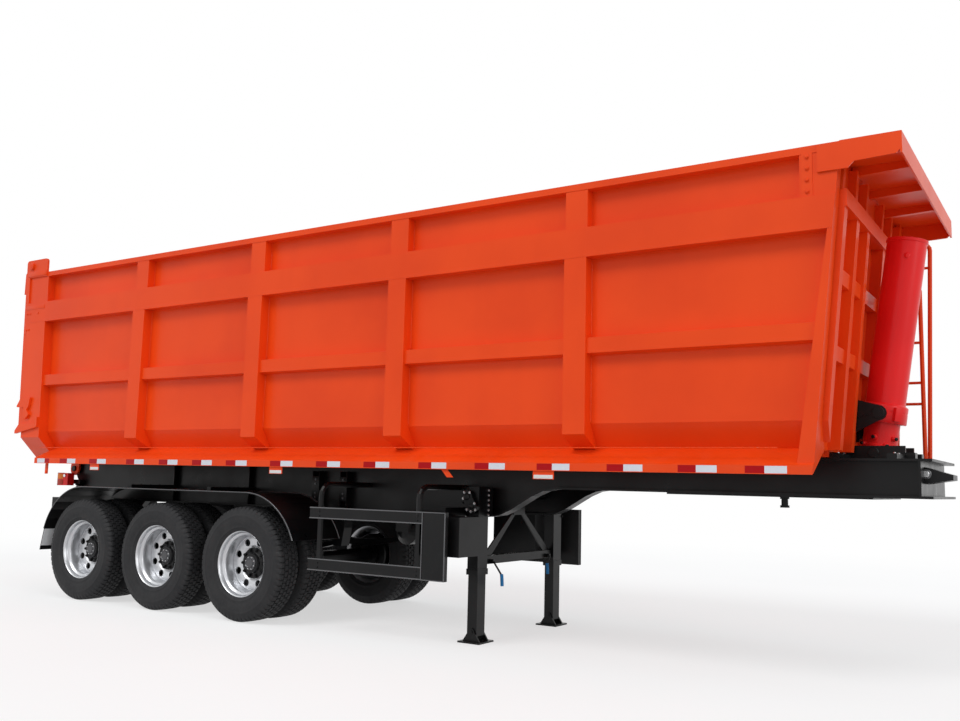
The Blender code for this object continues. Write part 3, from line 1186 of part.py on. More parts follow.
def make_front_wall():
    half = SHEET_OUTER_Y - SHEET - SEAT_GAP
    foot = SHELF_Z
    top = BODY_TOP
    toe = wall_x(foot)
    bend = wall_x(BAND_HIGH)
    crown = wall_x(top)
    outline = [(toe, foot), (crown, top), (crown - WALL_THICKNESS, top), (toe - WALL_THICKNESS, foot)]
    skin = plate(outline, "XZ", -half, half)
    pieces = [skin]
    for share in COLUMN_SHARES:
        y = BODY_HALF_WIDTH * share
        start = foot + COLUMN_FOOT_GAP
        stop = BAND_HIGH - COLUMN_FOOT_GAP
        column = [(toe - WALL_THICKNESS / 2, start), (bend - WALL_THICKNESS / 2, stop),
                  (bend + COLUMN_DEPTH, stop), (toe + COLUMN_DEPTH, start)]
        pieces.append(plate(column, "XZ", y - COLUMN_WIDTH / 2, y + COLUMN_WIDTH / 2))
        slim = COLUMN_WIDTH * 0.35
        stake = [(bend - WALL_THICKNESS / 2, BAND_HIGH - EMBED * 2), (bend + COLUMN_DEPTH * 0.7, BAND_HIGH - EMBED * 2),
                 (wall_x(TOP_RAIL_LOW) + COLUMN_DEPTH * 0.7, TOP_RAIL_LOW),
                 (wall_x(TOP_RAIL_LOW) - WALL_THICKNESS / 2, TOP_RAIL_LOW)]
        pieces.append(plate(stake, "XZ", y - slim, y + slim))
    for z in CROSS_RAIL_ZS:
        low = wall_x(z)
        high = wall_x(z + CROSS_RAIL_HEIGHT)
        pieces.append(plate([(low - WALL_THICKNESS / 2, z), (low + CROSS_RAIL_DEPTH, z),
                             (high + CROSS_RAIL_DEPTH, z + CROSS_RAIL_HEIGHT),
                             (high - WALL_THICKNESS / 2, z + CROSS_RAIL_HEIGHT)],
                            "XZ", CROSS_RAIL_END - half, half - CROSS_RAIL_END))
    seam = block(bend - WALL_THICKNESS / 2, bend + COLUMN_DEPTH + SEAM_STAND, SEAM_END - half, half - SEAM_END,
                 BAND_HIGH - SEAM_HALF_HEIGHT, BAND_HIGH + SEAM_HALF_HEIGHT)
    pieces.append(seam)
    cut_half = FLOOR_EDGE_Y + SEAT_GAP
    span = SHEET_OUTER_Y - SHEET - FLOOR_EDGE_Y
    corners = []
    for sign in (-1, 1):
        outline = [(sign * (cut_half - SEAT_GAP * 2), SHELF_Z - OVERRUN),
                   (sign * (cut_half - SEAT_GAP * 2), SHELF_Z + SHEET),
                   (sign * (cut_half + span - SEAT_GAP * 2), BEND_Z + EMBED + SEAT_GAP),
                   (sign * (cut_half + span + OVERRUN), BEND_Z + EMBED + SEAT_GAP),
                   (sign * (cut_half + span + OVERRUN), SHELF_Z - OVERRUN)]
        corners.append(plate(outline, "YZ", toe - COLUMN_DEPTH, toe + COLUMN_DEPTH + OVERRUN))
    node("front_wall", ORANGE_PAINT, pieces, corners)


def make_canopy():
    wall = wall_x(BODY_TOP) + SEAT_GAP
    rear = wall + SIDE_FLANGE_AHEAD
    tip = at(CANOPY_TIP_STATION)
    low = BODY_TOP - CANOPY_LIP_HEIGHT
    seat = EXTENSION_Y + SEAT_GAP
    half = seat + CANOPY_CHEEK
    inner = SHEET_OUTER_Y - SHEET - SEAT_GAP
    roof = plate([(wall, -inner), (rear, -inner), (rear, -half), (tip, -half), (tip, half), (rear, half),
                  (rear, inner), (wall, inner)], "XY", BODY_TOP - CANOPY_ROOF, BODY_TOP)
    lip = block(tip - CANOPY_CHEEK, tip, -half, half, low, BODY_TOP - CANOPY_ROOF / 2)
    pieces = [roof, lip]
    roof_middle = BODY_TOP - CANOPY_ROOF / 2
    lip_middle = tip - CANOPY_CHEEK / 2
    tail = at(CANOPY_CHEEK_STATION)
    step = at(CANOPY_STEP_STATION)
    foot = BODY_TOP - CANOPY_CHEEK_HEIGHT
    for sign in (-1, 1):
        near, far = sorted((sign * half, sign * seat))
        pieces.append(plate([(tail, roof_middle), (lip_middle, roof_middle), (lip_middle, low + CANOPY_NOSE),
                             (lip_middle - CANOPY_NOSE, low), (step + CANOPY_STEP, foot + CANOPY_STEP),
                             (step, foot), (tail, foot)], "XZ", near, far))
    for share in CANOPY_RIB_SHARES:
        y = BODY_HALF_WIDTH * share
        pieces.append(plate([(wall + EMBED, roof_middle), (lip_middle, roof_middle),
                             (lip_middle, BODY_TOP - CANOPY_RIB_DEPTH * 0.8),
                             (wall + EMBED, BODY_TOP - CANOPY_RIB_DEPTH)],
                            "XZ", y - CANOPY_RIB_WIDTH / 2, y + CANOPY_RIB_WIDTH / 2))
    node("canopy", ORANGE_PAINT, pieces)


def make_tailgate():
    """The gate's panel stands behind the body's rear edge, with ribs and two hinge arms."""
    front = at(BODY_REAR_STATION) - RUN_GAP
    rear = front - GATE_THICKNESS
    back = at(-REAR_REACH)
    half = EXTENSION_Y - GATE_EDGE_GAP
    low = SHELF_Z - GATE_DROP
    high = BODY_TOP - GATE_EDGE_GAP / 2
    chamfer = BEND_Z
    outline = [(-half, high), (-half, chamfer), (-FLOOR_EDGE_Y, low), (FLOOR_EDGE_Y, low),
               (half, chamfer), (half, high)]
    pieces = [leaned(plate(outline, "YZ", rear, front))]
    side = half - GATE_RIB_WIDTH / 2 - EMBED
    for y in tuple(BODY_HALF_WIDTH * share for share in GATE_RIB_SHARES) + (-side, side):
        foot = low + GATE_EDGE_GAP if abs(y) < FLOOR_EDGE_Y - GATE_RIB_WIDTH else chamfer
        pieces.append(leaned(block(back, rear + EMBED, y - GATE_RIB_WIDTH / 2, y + GATE_RIB_WIDTH / 2,
                                   foot, high - GATE_EDGE_GAP)))
    for z in (low + EMBED, MID_RAIL_LOW, BAND_LOW, high - GATE_RAIL_HEIGHT - EMBED):
        reach = FLOOR_EDGE_Y - GATE_EDGE_GAP if z < chamfer else half - GATE_EDGE_GAP
        pieces.append(leaned(block(back + GATE_RAIL_STEP, rear + EMBED * 1.5, -reach, reach, z,
                                   z + GATE_RAIL_HEIGHT)))
    pin_x = at(GATE_HINGE_STATION)
    lug_in = EXTENSION_Y + LUG_STAND - LUG_THICKNESS
    inner = lug_in - SEAT_GAP
    lug_out = EXTENSION_Y + LUG_STAND
    arm_foot = high - GATE_RAIL_HEIGHT * 2
    for sign in (-1, 1):
        near, far = sorted((sign * (inner - GATE_ARM_THICKNESS), sign * inner))
        eye = circle_points(pin_x, GATE_HINGE_Z, LUG_RADIUS * 0.7, -math.pi * 0.25, math.pi * 0.75, 6)
        outline = eye + [(back, GATE_HINGE_Z - LUG_RADIUS), (back, arm_foot),
                         (rear + EMBED, arm_foot), (rear + EMBED, BODY_TOP + EMBED * 3)]
        pieces.append(plate(outline, "XZ", near, far))
        pieces.append(rod((pin_x, sign * (inner - GATE_ARM_THICKNESS / 2), GATE_HINGE_Z),
                          (pin_x, sign * (lug_out + PIN_HEAD), GATE_HINGE_Z), GATE_PIN_RADIUS, 12))
        pieces.append(rod((pin_x, sign * (lug_out + SEAT_GAP), GATE_HINGE_Z),
                          (pin_x, sign * (lug_out + PIN_HEAD), GATE_HINGE_Z), PIN_HEAD_RADIUS, 12))
    part = node("tailgate", ORANGE_PAINT, pieces)
    return part


def make_hoist():
    """Base barrel in its cradle, four nested tubes, and the cover with the inmost rod."""
    x = at(HOIST_PIVOT_STATION)
    place = Matrix.Translation((x, 0, HOIST_PIVOT_Z)) @ Matrix.Rotation(HOIST_LEAN, 4, "Y")
    floor = STAGE_STAND
    mouth = floor + STAGE_LENGTH
    step = TUBE_WALL + TUBE_GAP
    base = turned([(0, -BARREL_FOOT), (BARREL_RADIUS, -BARREL_FOOT), (BARREL_RADIUS, mouth),
                   (BARREL_RADIUS - TUBE_WALL, mouth), (BARREL_RADIUS - TUBE_WALL, floor),
                   (0, floor)], HOIST_SEGMENTS, place)
    root = BARREL_RADIUS - TUBE_WALL / 2
    seat = CRADLE_HALF_WIDTH - CRADLE_PLATE - SEAT_GAP
    shoulders = [rod((x, sign * root, HOIST_PIVOT_Z), (x, sign * seat, HOIST_PIVOT_Z),
                     HOIST_PIN_RADIUS + PIN_SHOULDER, 12) for sign in (-1, 1)]
    stubs = [rod((x, sign * root, HOIST_PIVOT_Z), (x, sign * CRADLE_HALF_WIDTH, HOIST_PIVOT_Z),
                 HOIST_PIN_RADIUS, 12) for sign in (-1, 1)]
    part = node("hoist_base", RED_PAINT, [base] + shoulders + stubs)
    set_origin(part, (x, 0, HOIST_PIVOT_Z))
    radius = BARREL_RADIUS
    low = floor
    for number in range(STAGE_COUNT):
        radius = radius - step
        low = low + SEAT_GAP
        rim = mouth + TUBE_RISE * (number + 1)
        tube = turned([(0, low), (radius, low), (radius, rim), (radius - TUBE_WALL, rim),
                       (radius - TUBE_WALL, low + TUBE_WALL), (0, low + TUBE_WALL)], HOIST_SEGMENTS, place)
        part = node(f"hoist_stage_{number + 1}", CHROME_ROD, [tube])
        set_origin(part, (x, 0, HOIST_PIVOT_Z))
        low = low + TUBE_WALL
    radius = radius - step
    low = low + SEAT_GAP
    crown = mouth + TUBE_RISE * STAGE_COUNT + CROWN_RISE
    top = crown + CROWN_THICKNESS
    bore = COVER_RADIUS - COVER_WALL
    start = TRUNNION_REACH - COVER_SKIRT
    cover = turned([(0, top + KNOB_HEIGHT), (KNOB_RADIUS, top + KNOB_HEIGHT), (KNOB_RADIUS, top), (CAP_RADIUS, top),
                    (CAP_RADIUS, top - CAP_HEIGHT), (COVER_RADIUS, top - CAP_HEIGHT),
                    (COVER_RADIUS, COVER_START), (COLLAR_RADIUS, COVER_START - COLLAR_CHAMFER),
                    (COLLAR_RADIUS, start), (bore, start), (bore, crown), (radius, crown),
                    (radius, low), (0, low)], HOIST_SEGMENTS, place)
    trunnion = place @ Vector((0, 0, TRUNNION_REACH))
    boss_end = BRACKET_Y - BRACKET_THICKNESS / 2 - BOSS_GAP
    bosses = [rod((trunnion.x, sign * (bore + EMBED), trunnion.z), (trunnion.x, sign * boss_end, trunnion.z),
                  TRUNNION_BOSS_RADIUS, 12) for sign in (-1, 1)]
    part = node("hoist_cover", RED_PAINT, [cover] + bosses)
    set_origin(part, (x, 0, HOIST_PIVOT_Z))
    for side, sign in (("right", -1), ("left", 1)):
        half = BRACKET_THICKNESS / 2
        low_y, high_y = sorted((sign * (BRACKET_Y - half), sign * (BRACKET_Y + half)))
        eye = circle_points(trunnion.x, trunnion.z, BRACKET_NOSE_RADIUS, -math.pi / 2, math.pi / 2, 6)
        wall_low = trunnion.z - BRACKET_DROP
        wall_high = trunnion.z + BRACKET_RISE
        foot_low = wall_x(wall_low) + SEAT_GAP
        foot_high = wall_x(wall_high) + SEAT_GAP
        arm = plate([(foot_low, wall_low)] + eye + [(foot_high, wall_high)], "XZ", low_y, high_y)
        spare_low = wall_low - BRACKET_FOOT_SPARE
        spare_high = wall_high + BRACKET_FOOT_SPARE
        near, far = sorted((sign * (BRACKET_Y + half + BRACKET_FOOT_SPARE),
                            sign * (BRACKET_Y + half + BRACKET_FOOT_SPARE - BRACKET_FOOT_WIDTH)))
        foot = plate([(wall_x(spare_low) + SEAT_GAP, spare_low),
                      (wall_x(spare_low) + BRACKET_FOOT_DEPTH, spare_low),
                      (wall_x(spare_high) + BRACKET_FOOT_DEPTH, spare_high),
                      (wall_x(spare_high) + SEAT_GAP, spare_high)], "XZ", near, far)
        pin_low, pin_high = sorted((sign * (boss_end + PIN_FACE_GAP), sign * (BRACKET_Y + half + BRACKET_FOOT_SPARE)))
        pin = rod((trunnion.x, pin_low, trunnion.z), (trunnion.x, pin_high, trunnion.z), HOIST_PIN_RADIUS, 12)
        node(f"hoist_bracket_{side}", BLACK_PAINT, [arm, foot, pin])


def make_cradle():
    x = at(HOIST_PIVOT_STATION)
    low = CHASSIS_TOP + SEAT_GAP
    reach = BEAM_Y + FLANGE_WIDTH / 2
    near = CRADLE_BAR_OFFSET
    far = near + CRADLE_BAR_WIDTH
    top = low + CRADLE_BAR_HEIGHT
    pieces = [block(x + near, x + far, -reach, reach, low, top), block(x - far, x - near, -reach, reach, low, top)]
    hole_end = CRADLE_HALF_WIDTH + OVERRUN
    hole = rod((x, -hole_end, HOIST_PIVOT_Z), (x, hole_end, HOIST_PIVOT_Z), HOIST_PIN_RADIUS + PIN_GAP, 12)
    for sign in (-1, 1):
        inner, outer = sorted((sign * (CRADLE_HALF_WIDTH - CRADLE_PLATE), sign * CRADLE_HALF_WIDTH))
        pieces.append(block(wall_x(CRADLE_TOP) + RUN_GAP * 2, x + far - EMBED, inner, outer, low + EMBED,
                            CRADLE_TOP))
        inner, outer = sorted((sign * CRADLE_HALF_WIDTH / 2, sign * (CRADLE_HALF_WIDTH - EMBED)))
        pieces.append(block(x + far - EMBED, x + far + CRADLE_END_LENGTH, inner, outer, low + EMBED / 2,
                            top + CRADLE_BAR_HEIGHT / 2))
    node("hoist_cradle", BLACK_PAINT, pieces, [hole])


def hoop(y, foot_x, lean, width, top):
    """A pipe hoop: up from the foot, over a rounded top and down again, leaning forward."""
    low = CHASSIS_TOP + SEAT_GAP + LADDER_FOOT / 2
    rise = top - HOOP_CORNER
    share = (rise - low) / (top - low)
    route = [(foot_x, y, low), (foot_x + lean * share, y, rise)]
    front = foot_x + lean - HOOP_CORNER
    back = foot_x + lean - width + HOOP_CORNER
    for turn in (math.pi / 8, math.pi / 4, math.pi * 3 / 8, math.pi / 2):
        route.append((front + HOOP_CORNER * math.cos(turn), y, rise + HOOP_CORNER * math.sin(turn)))
    for turn in (math.pi / 2, math.pi * 5 / 8, math.pi * 3 / 4, math.pi * 7 / 8):
        route.append((back + HOOP_CORNER * math.cos(turn), y, rise + HOOP_CORNER * math.sin(turn)))
    route.append((foot_x + lean * share - width, y, rise))
    route.append((foot_x - width, y, low))
    return pipe(route, HOOP_RADIUS)


def make_ladder():
    low = CHASSIS_TOP + SEAT_GAP
    front = at(LOW_HOOP_STATION)
    pieces = [hoop(LOW_HOOP_Y, front, 0, HOOP_WIDTH, LOW_HOOP_TOP)]
    pieces.append(hoop(HIGH_HOOP_Y, at(HIGH_HOOP_STATION), HIGH_HOOP_LEAN, HOOP_WIDTH, HIGH_HOOP_TOP))
    for z in RUNG_ZS:
        pieces.append(rod((front, LOW_HOOP_Y, z), (front - HOOP_WIDTH, LOW_HOOP_Y, z), RUNG_RADIUS, 8))
    share = (HIGH_RUNG_Z - low) / (HIGH_HOOP_TOP - low)
    grab = at(HIGH_HOOP_STATION) + HIGH_HOOP_LEAN * share
    pieces.append(rod((grab, HIGH_HOOP_Y, HIGH_RUNG_Z), (grab - HOOP_WIDTH, HIGH_HOOP_Y, HIGH_RUNG_Z),
                      RUNG_RADIUS, 8))
    near = LOW_HOOP_Y - HOOP_RADIUS * 1.3
    far = HIGH_HOOP_Y + HOOP_RADIUS * 1.3
    for x in (front, front - HOOP_WIDTH):
        pieces.append(block(x - HOOP_RADIUS * 2, x + HOOP_RADIUS * 2.5, near, far, low, low + LADDER_FOOT))
    node("ladder", ORANGE_PAINT, pieces)


make_wheels()
make_axles()
make_frame()
make_neck_fittings()
make_suspension()
make_legs()
make_fenders()
make_side_guards()
make_tail()
make_tool_boxes()
make_side_walls()
make_floor()
make_front_wall()
make_canopy()
make_tailgate()
make_hoist()
make_cradle()
make_ladder()
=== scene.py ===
"""Looks of the three-axle dump semi-trailer: gloss orange body, red hoist, black chassis,
silver twin wheels.  Metres, in the same frame as the construction model."""
import json
import math

import bmesh
import bpy
from mathutils import Matrix, Vector


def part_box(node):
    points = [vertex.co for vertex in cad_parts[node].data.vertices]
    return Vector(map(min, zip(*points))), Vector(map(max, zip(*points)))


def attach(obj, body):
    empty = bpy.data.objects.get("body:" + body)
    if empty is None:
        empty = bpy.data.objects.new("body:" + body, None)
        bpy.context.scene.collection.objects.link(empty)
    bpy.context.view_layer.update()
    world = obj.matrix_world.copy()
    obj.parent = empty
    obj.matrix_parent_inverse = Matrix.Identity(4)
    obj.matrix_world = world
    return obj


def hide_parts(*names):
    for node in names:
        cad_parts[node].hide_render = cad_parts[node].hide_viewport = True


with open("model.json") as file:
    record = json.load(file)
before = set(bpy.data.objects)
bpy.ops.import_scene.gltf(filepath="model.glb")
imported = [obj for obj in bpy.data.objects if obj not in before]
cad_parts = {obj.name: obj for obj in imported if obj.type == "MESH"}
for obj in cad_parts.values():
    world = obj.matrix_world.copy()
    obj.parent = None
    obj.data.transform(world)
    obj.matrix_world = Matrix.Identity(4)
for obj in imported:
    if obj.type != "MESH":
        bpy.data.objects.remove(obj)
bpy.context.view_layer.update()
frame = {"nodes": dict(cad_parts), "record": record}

# Driving sizes, as in the construction model
REAR_REACH = 1.45
FRONT_REACH = 8.30
REAR_AXLE_X = (REAR_REACH - FRONT_REACH) / 2
AXLE_COUNT = 3
AXLE_SPACING = 1.20
TYRE_RADIUS = 0.527
TYRE_HALF = 0.1395
OVER_TYRES_WIDTH = 2.47
TWIN_PITCH = 0.345
TWIN_SHIFT = TWIN_PITCH / 2
TWIN_Y = OVER_TYRES_WIDTH / 2 - TYRE_HALF - TWIN_SHIFT
SIDES = (("right", -1), ("left", 1))

# Light and floor
FILL_STRENGTH = 0.62
FILL_COLOUR = (0.94, 0.97, 1.0, 1)
KEY_POWER = 1.15
KEY_DIRECTION = (0.15, 0.72, -0.80)
KEY_SPREAD = 24
NOSE_POWER = 0.75
NOSE_DIRECTION = (-0.85, 0.25, -0.35)
NOSE_SPREAD = 40
FLOOR_HALF = 200.0
FLOOR_LIFT = 0.60
FLOOR_FADE_START = 7.0
FLOOR_FADE_END = 16.0
FLOOR_SEEN_LOW = (0.93, 0.93, 0.93)
FLOOR_SEEN_HIGH = (0.96, 0.96, 0.96)
FLOOR_LIT = (0.62, 0.62, 0.62)
WHITE = (1, 1, 1, 1)

# Camera, from the straight edges of the trailer in the photograph
CAMERA_ANGLES = (32.9137, 7.3067, 1.3749)
CAMERA_STATION = 9.1330
CAMERA_Y = -7.6092
CAMERA_HEIGHT = 1.3197
CAMERA_REACH = 400
SENSOR_WIDTH = 36.0
FOCAL_PIXELS = 957.57
FRAME_WIDTH = 960

# Eased edges: added pieces, then the carried-over solids
FINE_EASE = 0.0005
TAB_EASE = 0.001
SHEET_EASE = 0.0015
PLATE_EASE = 0.002
ROUND_EASE = 0.003
EASED_EDGE = 0.0025
EASED_STEPS = 2
EASED_ANGLE = 38


def at(station):
    """World X of a station counted forward from the rear axle."""
    return REAR_AXLE_X + station


def ring(count, radius, offset=0.0):
    """Evenly spaced points on a circle, as (angle, x, y)."""
    angles = [math.tau * (step + offset) / count for step in range(count)]
    return [(angle, radius * math.cos(angle), radius * math.sin(angle)) for angle in angles]


# Shader maths
class Val:
    """A socket in a shader tree that takes part in sums and products."""

    def __init__(self, tree, socket):
        self.tree = tree
        self.socket = socket

    def math(self, operation, other=None):
        node = self.tree.nodes.new("ShaderNodeMath")
        node.operation = operation
        for place, value in enumerate((self, other)):
            if value is not None:
                plug(self.tree, node.inputs[place], value)
        return Val(self.tree, node.outputs[0])

    def __add__(self, other):
        return self.math("ADD", other)

    def __mul__(self, other):
        return self.math("MULTIPLY", other)

    def over(self, low, high):
        """0 below low, 1 above high, smooth between."""
        node = self.tree.nodes.new("ShaderNodeMapRange")
        node.interpolation_type = "SMOOTHSTEP"
        plug(self.tree, node.inputs["Value"], self)
        node.inputs["From Min"].default_value = low
        node.inputs["From Max"].default_value = high
        return Val(self.tree, node.outputs["Result"])


def plug(tree, target, value):
    """Leads a node's output to a socket, or sets a plain number or colour on it."""
    if isinstance(value, Val):
        tree.links.new(value.socket, target)
    else:
        target.default_value = value


class Finish:
    """A Principled material and the nodes that vary it."""

    COAT_ROUGHNESS = 0.06

    def __init__(self, name, colour, roughness, metallic=0.0, coat=0.0, shine=0.5):
        self.made = bpy.data.materials.new(name)
        self.made.use_nodes = True
        self.tree = self.made.node_tree
        self.shader = self.tree.nodes["Principled BSDF"]
        self.shader.inputs["Base Color"].default_value = (*colour, 1)
        self.shader.inputs["Roughness"].default_value = roughness
        self.shader.inputs["Metallic"].default_value = metallic
        self.shader.inputs["Specular IOR Level"].default_value = shine
        self.shader.inputs["Coat Weight"].default_value = coat
        self.shader.inputs["Coat Roughness"].default_value = self.COAT_ROUGHNESS
        place = self.tree.nodes.new("ShaderNodeTexCoord")
        self.place = Val(self.tree, place.outputs["Object"])
        parts = self.tree.nodes.new("ShaderNodeSeparateXYZ")
        self.tree.links.new(place.outputs["Object"], parts.inputs[0])
        self.x, self.y, self.z = (Val(self.tree, parts.outputs[axis]) for axis in range(3))

    def noise(self, scale, detail=3.0, stretch=None):
        node = self.tree.nodes.new("ShaderNodeTexNoise")
        node.inputs["Scale"].default_value = scale
        node.inputs["Detail"].default_value = detail
        source = self.place
        if stretch:
            mapping = self.tree.nodes.new("ShaderNodeMapping")
            mapping.inputs["Scale"].default_value = stretch
            plug(self.tree, mapping.inputs["Vector"], source)
            source = Val(self.tree, mapping.outputs[0])
        plug(self.tree, node.inputs["Vector"], source)
        return Val(self.tree, node.outputs["Fac"])

    def mix(self, share, first, second):
        node = self.tree.nodes.new("ShaderNodeMix")
        node.data_type = "RGBA"
        plug(self.tree, node.inputs["Factor"], share)
        for target, value in ((node.inputs[6], first), (node.inputs[7], second)):
            plug(self.tree, target, value if isinstance(value, Val) else (*value, 1))
        return Val(self.tree, node.outputs[2])

    def colour(self, value):
        plug(self.tree, self.shader.inputs["Base Color"], value)

    def roughness(self, value):
        plug(self.tree, self.shader.inputs["Roughness"], value)

    def bump(self, *layers):
        """Each layer is (height, distance in metres, strength)."""
        normal = None
        for height, distance, strength in layers:
            node = self.tree.nodes.new("ShaderNodeBump")
            node.inputs["Distance"].default_value = distance
            node.inputs["Strength"].default_value = strength
            plug(self.tree, node.inputs["Height"], height)
            if normal:
                self.tree.links.new(normal, node.inputs["Normal"])
            normal = node.outputs["Normal"]
        self.tree.links.new(normal, self.shader.inputs["Normal"])


def gloss_paint(name, colour, shade, dust, roughness, dust_low, dust_high):
    """Sprayed enamel over welded sheet: slow ripples, fine peel, faint clouding, dust low down."""
    made = Finish(name, colour, roughness, coat=0.05, shine=0.20)
    cloud = made.noise(scale=1.1, detail=4.0).over(0.35, 0.72)
    streak = made.noise(scale=3.0, stretch=(1.6, 1.6, 0.25)).over(0.52, 0.80)
    clouded = made.mix(cloud * 0.55, colour, shade)
    streaked = made.mix(streak * 0.16, clouded, shade)
    low_down = made.z.over(dust_high, dust_low)
    grime = low_down * made.noise(scale=9.0, detail=5.0).over(0.38, 0.75)
    made.colour(made.mix(grime * 0.10, streaked, dust))
    made.roughness(made.noise(scale=2.3) * 0.16 + (roughness - 0.06) + grime * 0.25)
    ripple = made.noise(scale=1.4, detail=2.0)
    peel = made.noise(scale=260.0, detail=2.0)
    made.bump((ripple, 0.010, 0.25), (peel, 0.0004, 0.10))
    return made.made


def satin_paint(name, colour, dust, roughness):
    """Brushed or dipped satin paint: mottled, with fine grain and specks of dust low down."""
    made = Finish(name, colour, roughness, shine=0.22)
    cloud = made.noise(scale=2.2, detail=5.0).over(0.40, 0.75)
    low_down = made.z.over(1.5, 0.1)
    speck = made.noise(scale=26.0, detail=4.0).over(0.50, 0.78)
    made.colour(made.mix(cloud * 0.16 + low_down * speck * 0.20, colour, dust))
    made.roughness(made.noise(scale=7.0, detail=4.0) * 0.22 + (roughness - 0.09))
    grain = made.noise(scale=180.0, detail=2.0)
    mottle = made.noise(scale=9.0, detail=2.0)
    made.bump((grain, 0.0005, 0.16), (mottle, 0.002, 0.10))
    return made.made


def tyre_finish(name, colour, dust):
    """Dull moulded rubber with a grey bloom."""
    made = Finish(name, colour, roughness=0.74, shine=0.30)
    cloud = made.noise(scale=6.0, detail=5.0).over(0.35, 0.75)
    fine = made.noise(scale=70.0).over(0.45, 0.75)
    made.colour(made.mix(cloud * 0.38 + fine * 0.12, colour, dust))
    made.roughness(made.noise(scale=30.0) * 0.22 + 0.60)
    grain = made.noise(scale=420.0, detail=2.0)
    mottle = made.noise(scale=38.0)
    made.bump((grain, 0.0006, 0.30), (mottle, 0.0010, 0.15))
    return made.made


def plated_finish(name, colour, shade, roughness, metallic, coat=0.15, shine=0.5):
    """Metal, plating or foil: cloudy, with darker grit and a fine grain."""
    made = Finish(name, colour, roughness, metallic, coat, shine)
    cloud = made.noise(scale=5.0, detail=4.0).over(0.40, 0.78)
    grit = made.noise(scale=48.0, detail=4.0).over(0.56, 0.80)
    made.colour(made.mix(cloud * 0.22 + grit * 0.20, colour, shade))
    made.roughness(made.noise(scale=16.0, detail=4.0) * 0.18 + (roughness - 0.07))
    made.bump((made.noise(scale=320.0, detail=2.0), 0.0003, 0.12))
    return made.made


ORANGE = gloss_paint("orange_enamel", colour=(0.84, 0.066, 0.005), shade=(0.70, 0.044, 0.003),
                     dust=(0.52, 0.12, 0.05), roughness=0.36, dust_low=1.40, dust_high=1.75)
RED = gloss_paint("red_enamel", colour=(0.88, 0.016, 0.016), shade=(0.72, 0.010, 0.011),
                  dust=(0.40, 0.10, 0.08), roughness=0.28, dust_low=1.55, dust_high=1.9)
LENS_RED = gloss_paint("lamp_lens_red", colour=(0.46, 0.030, 0.008), shade=(0.30, 0.018, 0.006),
                       dust=(0.4, 0.1, 0.1), roughness=0.16, dust_low=0.2, dust_high=0.4)
LENS_AMBER = gloss_paint("lamp_lens_amber", colour=(0.78, 0.20, 0.008), shade=(0.60, 0.14, 0.006),
                         dust=(0.5, 0.3, 0.1), roughness=0.16, dust_low=0.2, dust_high=0.4)
BLACK = satin_paint("black_chassis_paint", colour=(0.0035, 0.0035, 0.0040), dust=(0.024, 0.023, 0.022),
                    roughness=0.30)
HUB_BLACK = satin_paint("hub_black", colour=(0.0060, 0.0060, 0.0066), dust=(0.040, 0.038, 0.036),
                        roughness=0.33)
FLAP_GREY = satin_paint("flap_grey_band", colour=(0.70, 0.71, 0.72), dust=(0.48, 0.48, 0.48),
                        roughness=0.60)
GRIP_BLUE = satin_paint("blue_grip", colour=(0.020, 0.190, 0.46), dust=(0.016, 0.11, 0.26),
                        roughness=0.42)
RUBBER = tyre_finish("tyre_rubber_black", colour=(0.0165, 0.0165, 0.0180), dust=(0.036, 0.035, 0.035))
SILVER = plated_finish("silver_wheel_paint", colour=(0.60, 0.61, 0.63), shade=(0.30, 0.30, 0.31),
                       roughness=0.30, metallic=0.72)
CHROME = plated_finish("plated_tube", colour=(0.74, 0.75, 0.77), shade=(0.55, 0.55, 0.57),
                       roughness=0.12, metallic=1.0)
STEEL = plated_finish("zinc_bolt", colour=(0.55, 0.55, 0.56), shade=(0.24, 0.23, 0.22),
                      roughness=0.34, metallic=0.80)
DARK_STEEL = plated_finish("dark_cap", colour=(0.075, 0.075, 0.080), shade=(0.030, 0.030, 0.032),
                           roughness=0.30, metallic=0.55)
# Lighter, glossier black for rims, lips and the coupling's collar: its pale tone is a painted highlight along
# their edges.
HIGHLIGHT_BLACK = plated_finish("black_with_painted_highlight", colour=(0.085, 0.085, 0.090), shade=(0.020, 0.020, 0.022),
                           roughness=0.22, metallic=0.35, coat=0.6)
TAPE_RED = plated_finish("tape_red", colour=(0.40, 0.001, 0.004), shade=(0.30, 0.001, 0.003),
                         roughness=0.30, metallic=0.0, coat=0.0, shine=0.15)
TAPE_WHITE = plated_finish("tape_white", colour=(0.66, 0.68, 0.74), shade=(0.50, 0.52, 0.58),
                           roughness=0.24, metallic=0.0)
PLATE_WHITE = plated_finish("blank_plate_white", colour=(0.70, 0.70, 0.69), shade=(0.55, 0.54, 0.52),
                            roughness=0.38, metallic=0.0)
BY_SLOT = {"orange_paint": ORANGE, "red_paint": RED, "black_paint": BLACK, "tyre_rubber": RUBBER,
           "silver_paint": SILVER, "chrome_rod": CHROME}

SLOT_OF = {entry["node"]: entry["material_slot"] for entry in frame["record"]["subparts"]}
for node_name, obj in frame["nodes"].items():
    obj.data.materials.clear()
    obj.data.materials.append(BY_SLOT[SLOT_OF[node_name]])
    if not node_name.startswith(("tyre", "wheel")):
        ease = obj.modifiers.new("eased_edges", "BEVEL")
        ease.width = EASED_EDGE
        ease.segments = EASED_STEPS
        ease.limit_method = "ANGLE"
        ease.angle_limit = math.radians(EASED_ANGLE)


# Mesh building
def linked(name, data):
    """A new object in the scene, around a mesh, a lamp or a camera."""
    obj = bpy.data.objects.new(name, data)
    bpy.context.scene.collection.objects.link(obj)
    return obj


def add_piece(name, mesh, material, body, angle=32, stands_for=()):
    """One finished piece on its body, shaded smooth up to the given angle."""
    obj = linked(name, mesh)
    mesh.materials.clear()
    mesh.materials.append(material)
    mesh.shade_smooth()
    mesh.set_sharp_from_angle(angle=math.radians(angle))
    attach(obj, body)
    if stands_for:
        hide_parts(*stands_for)


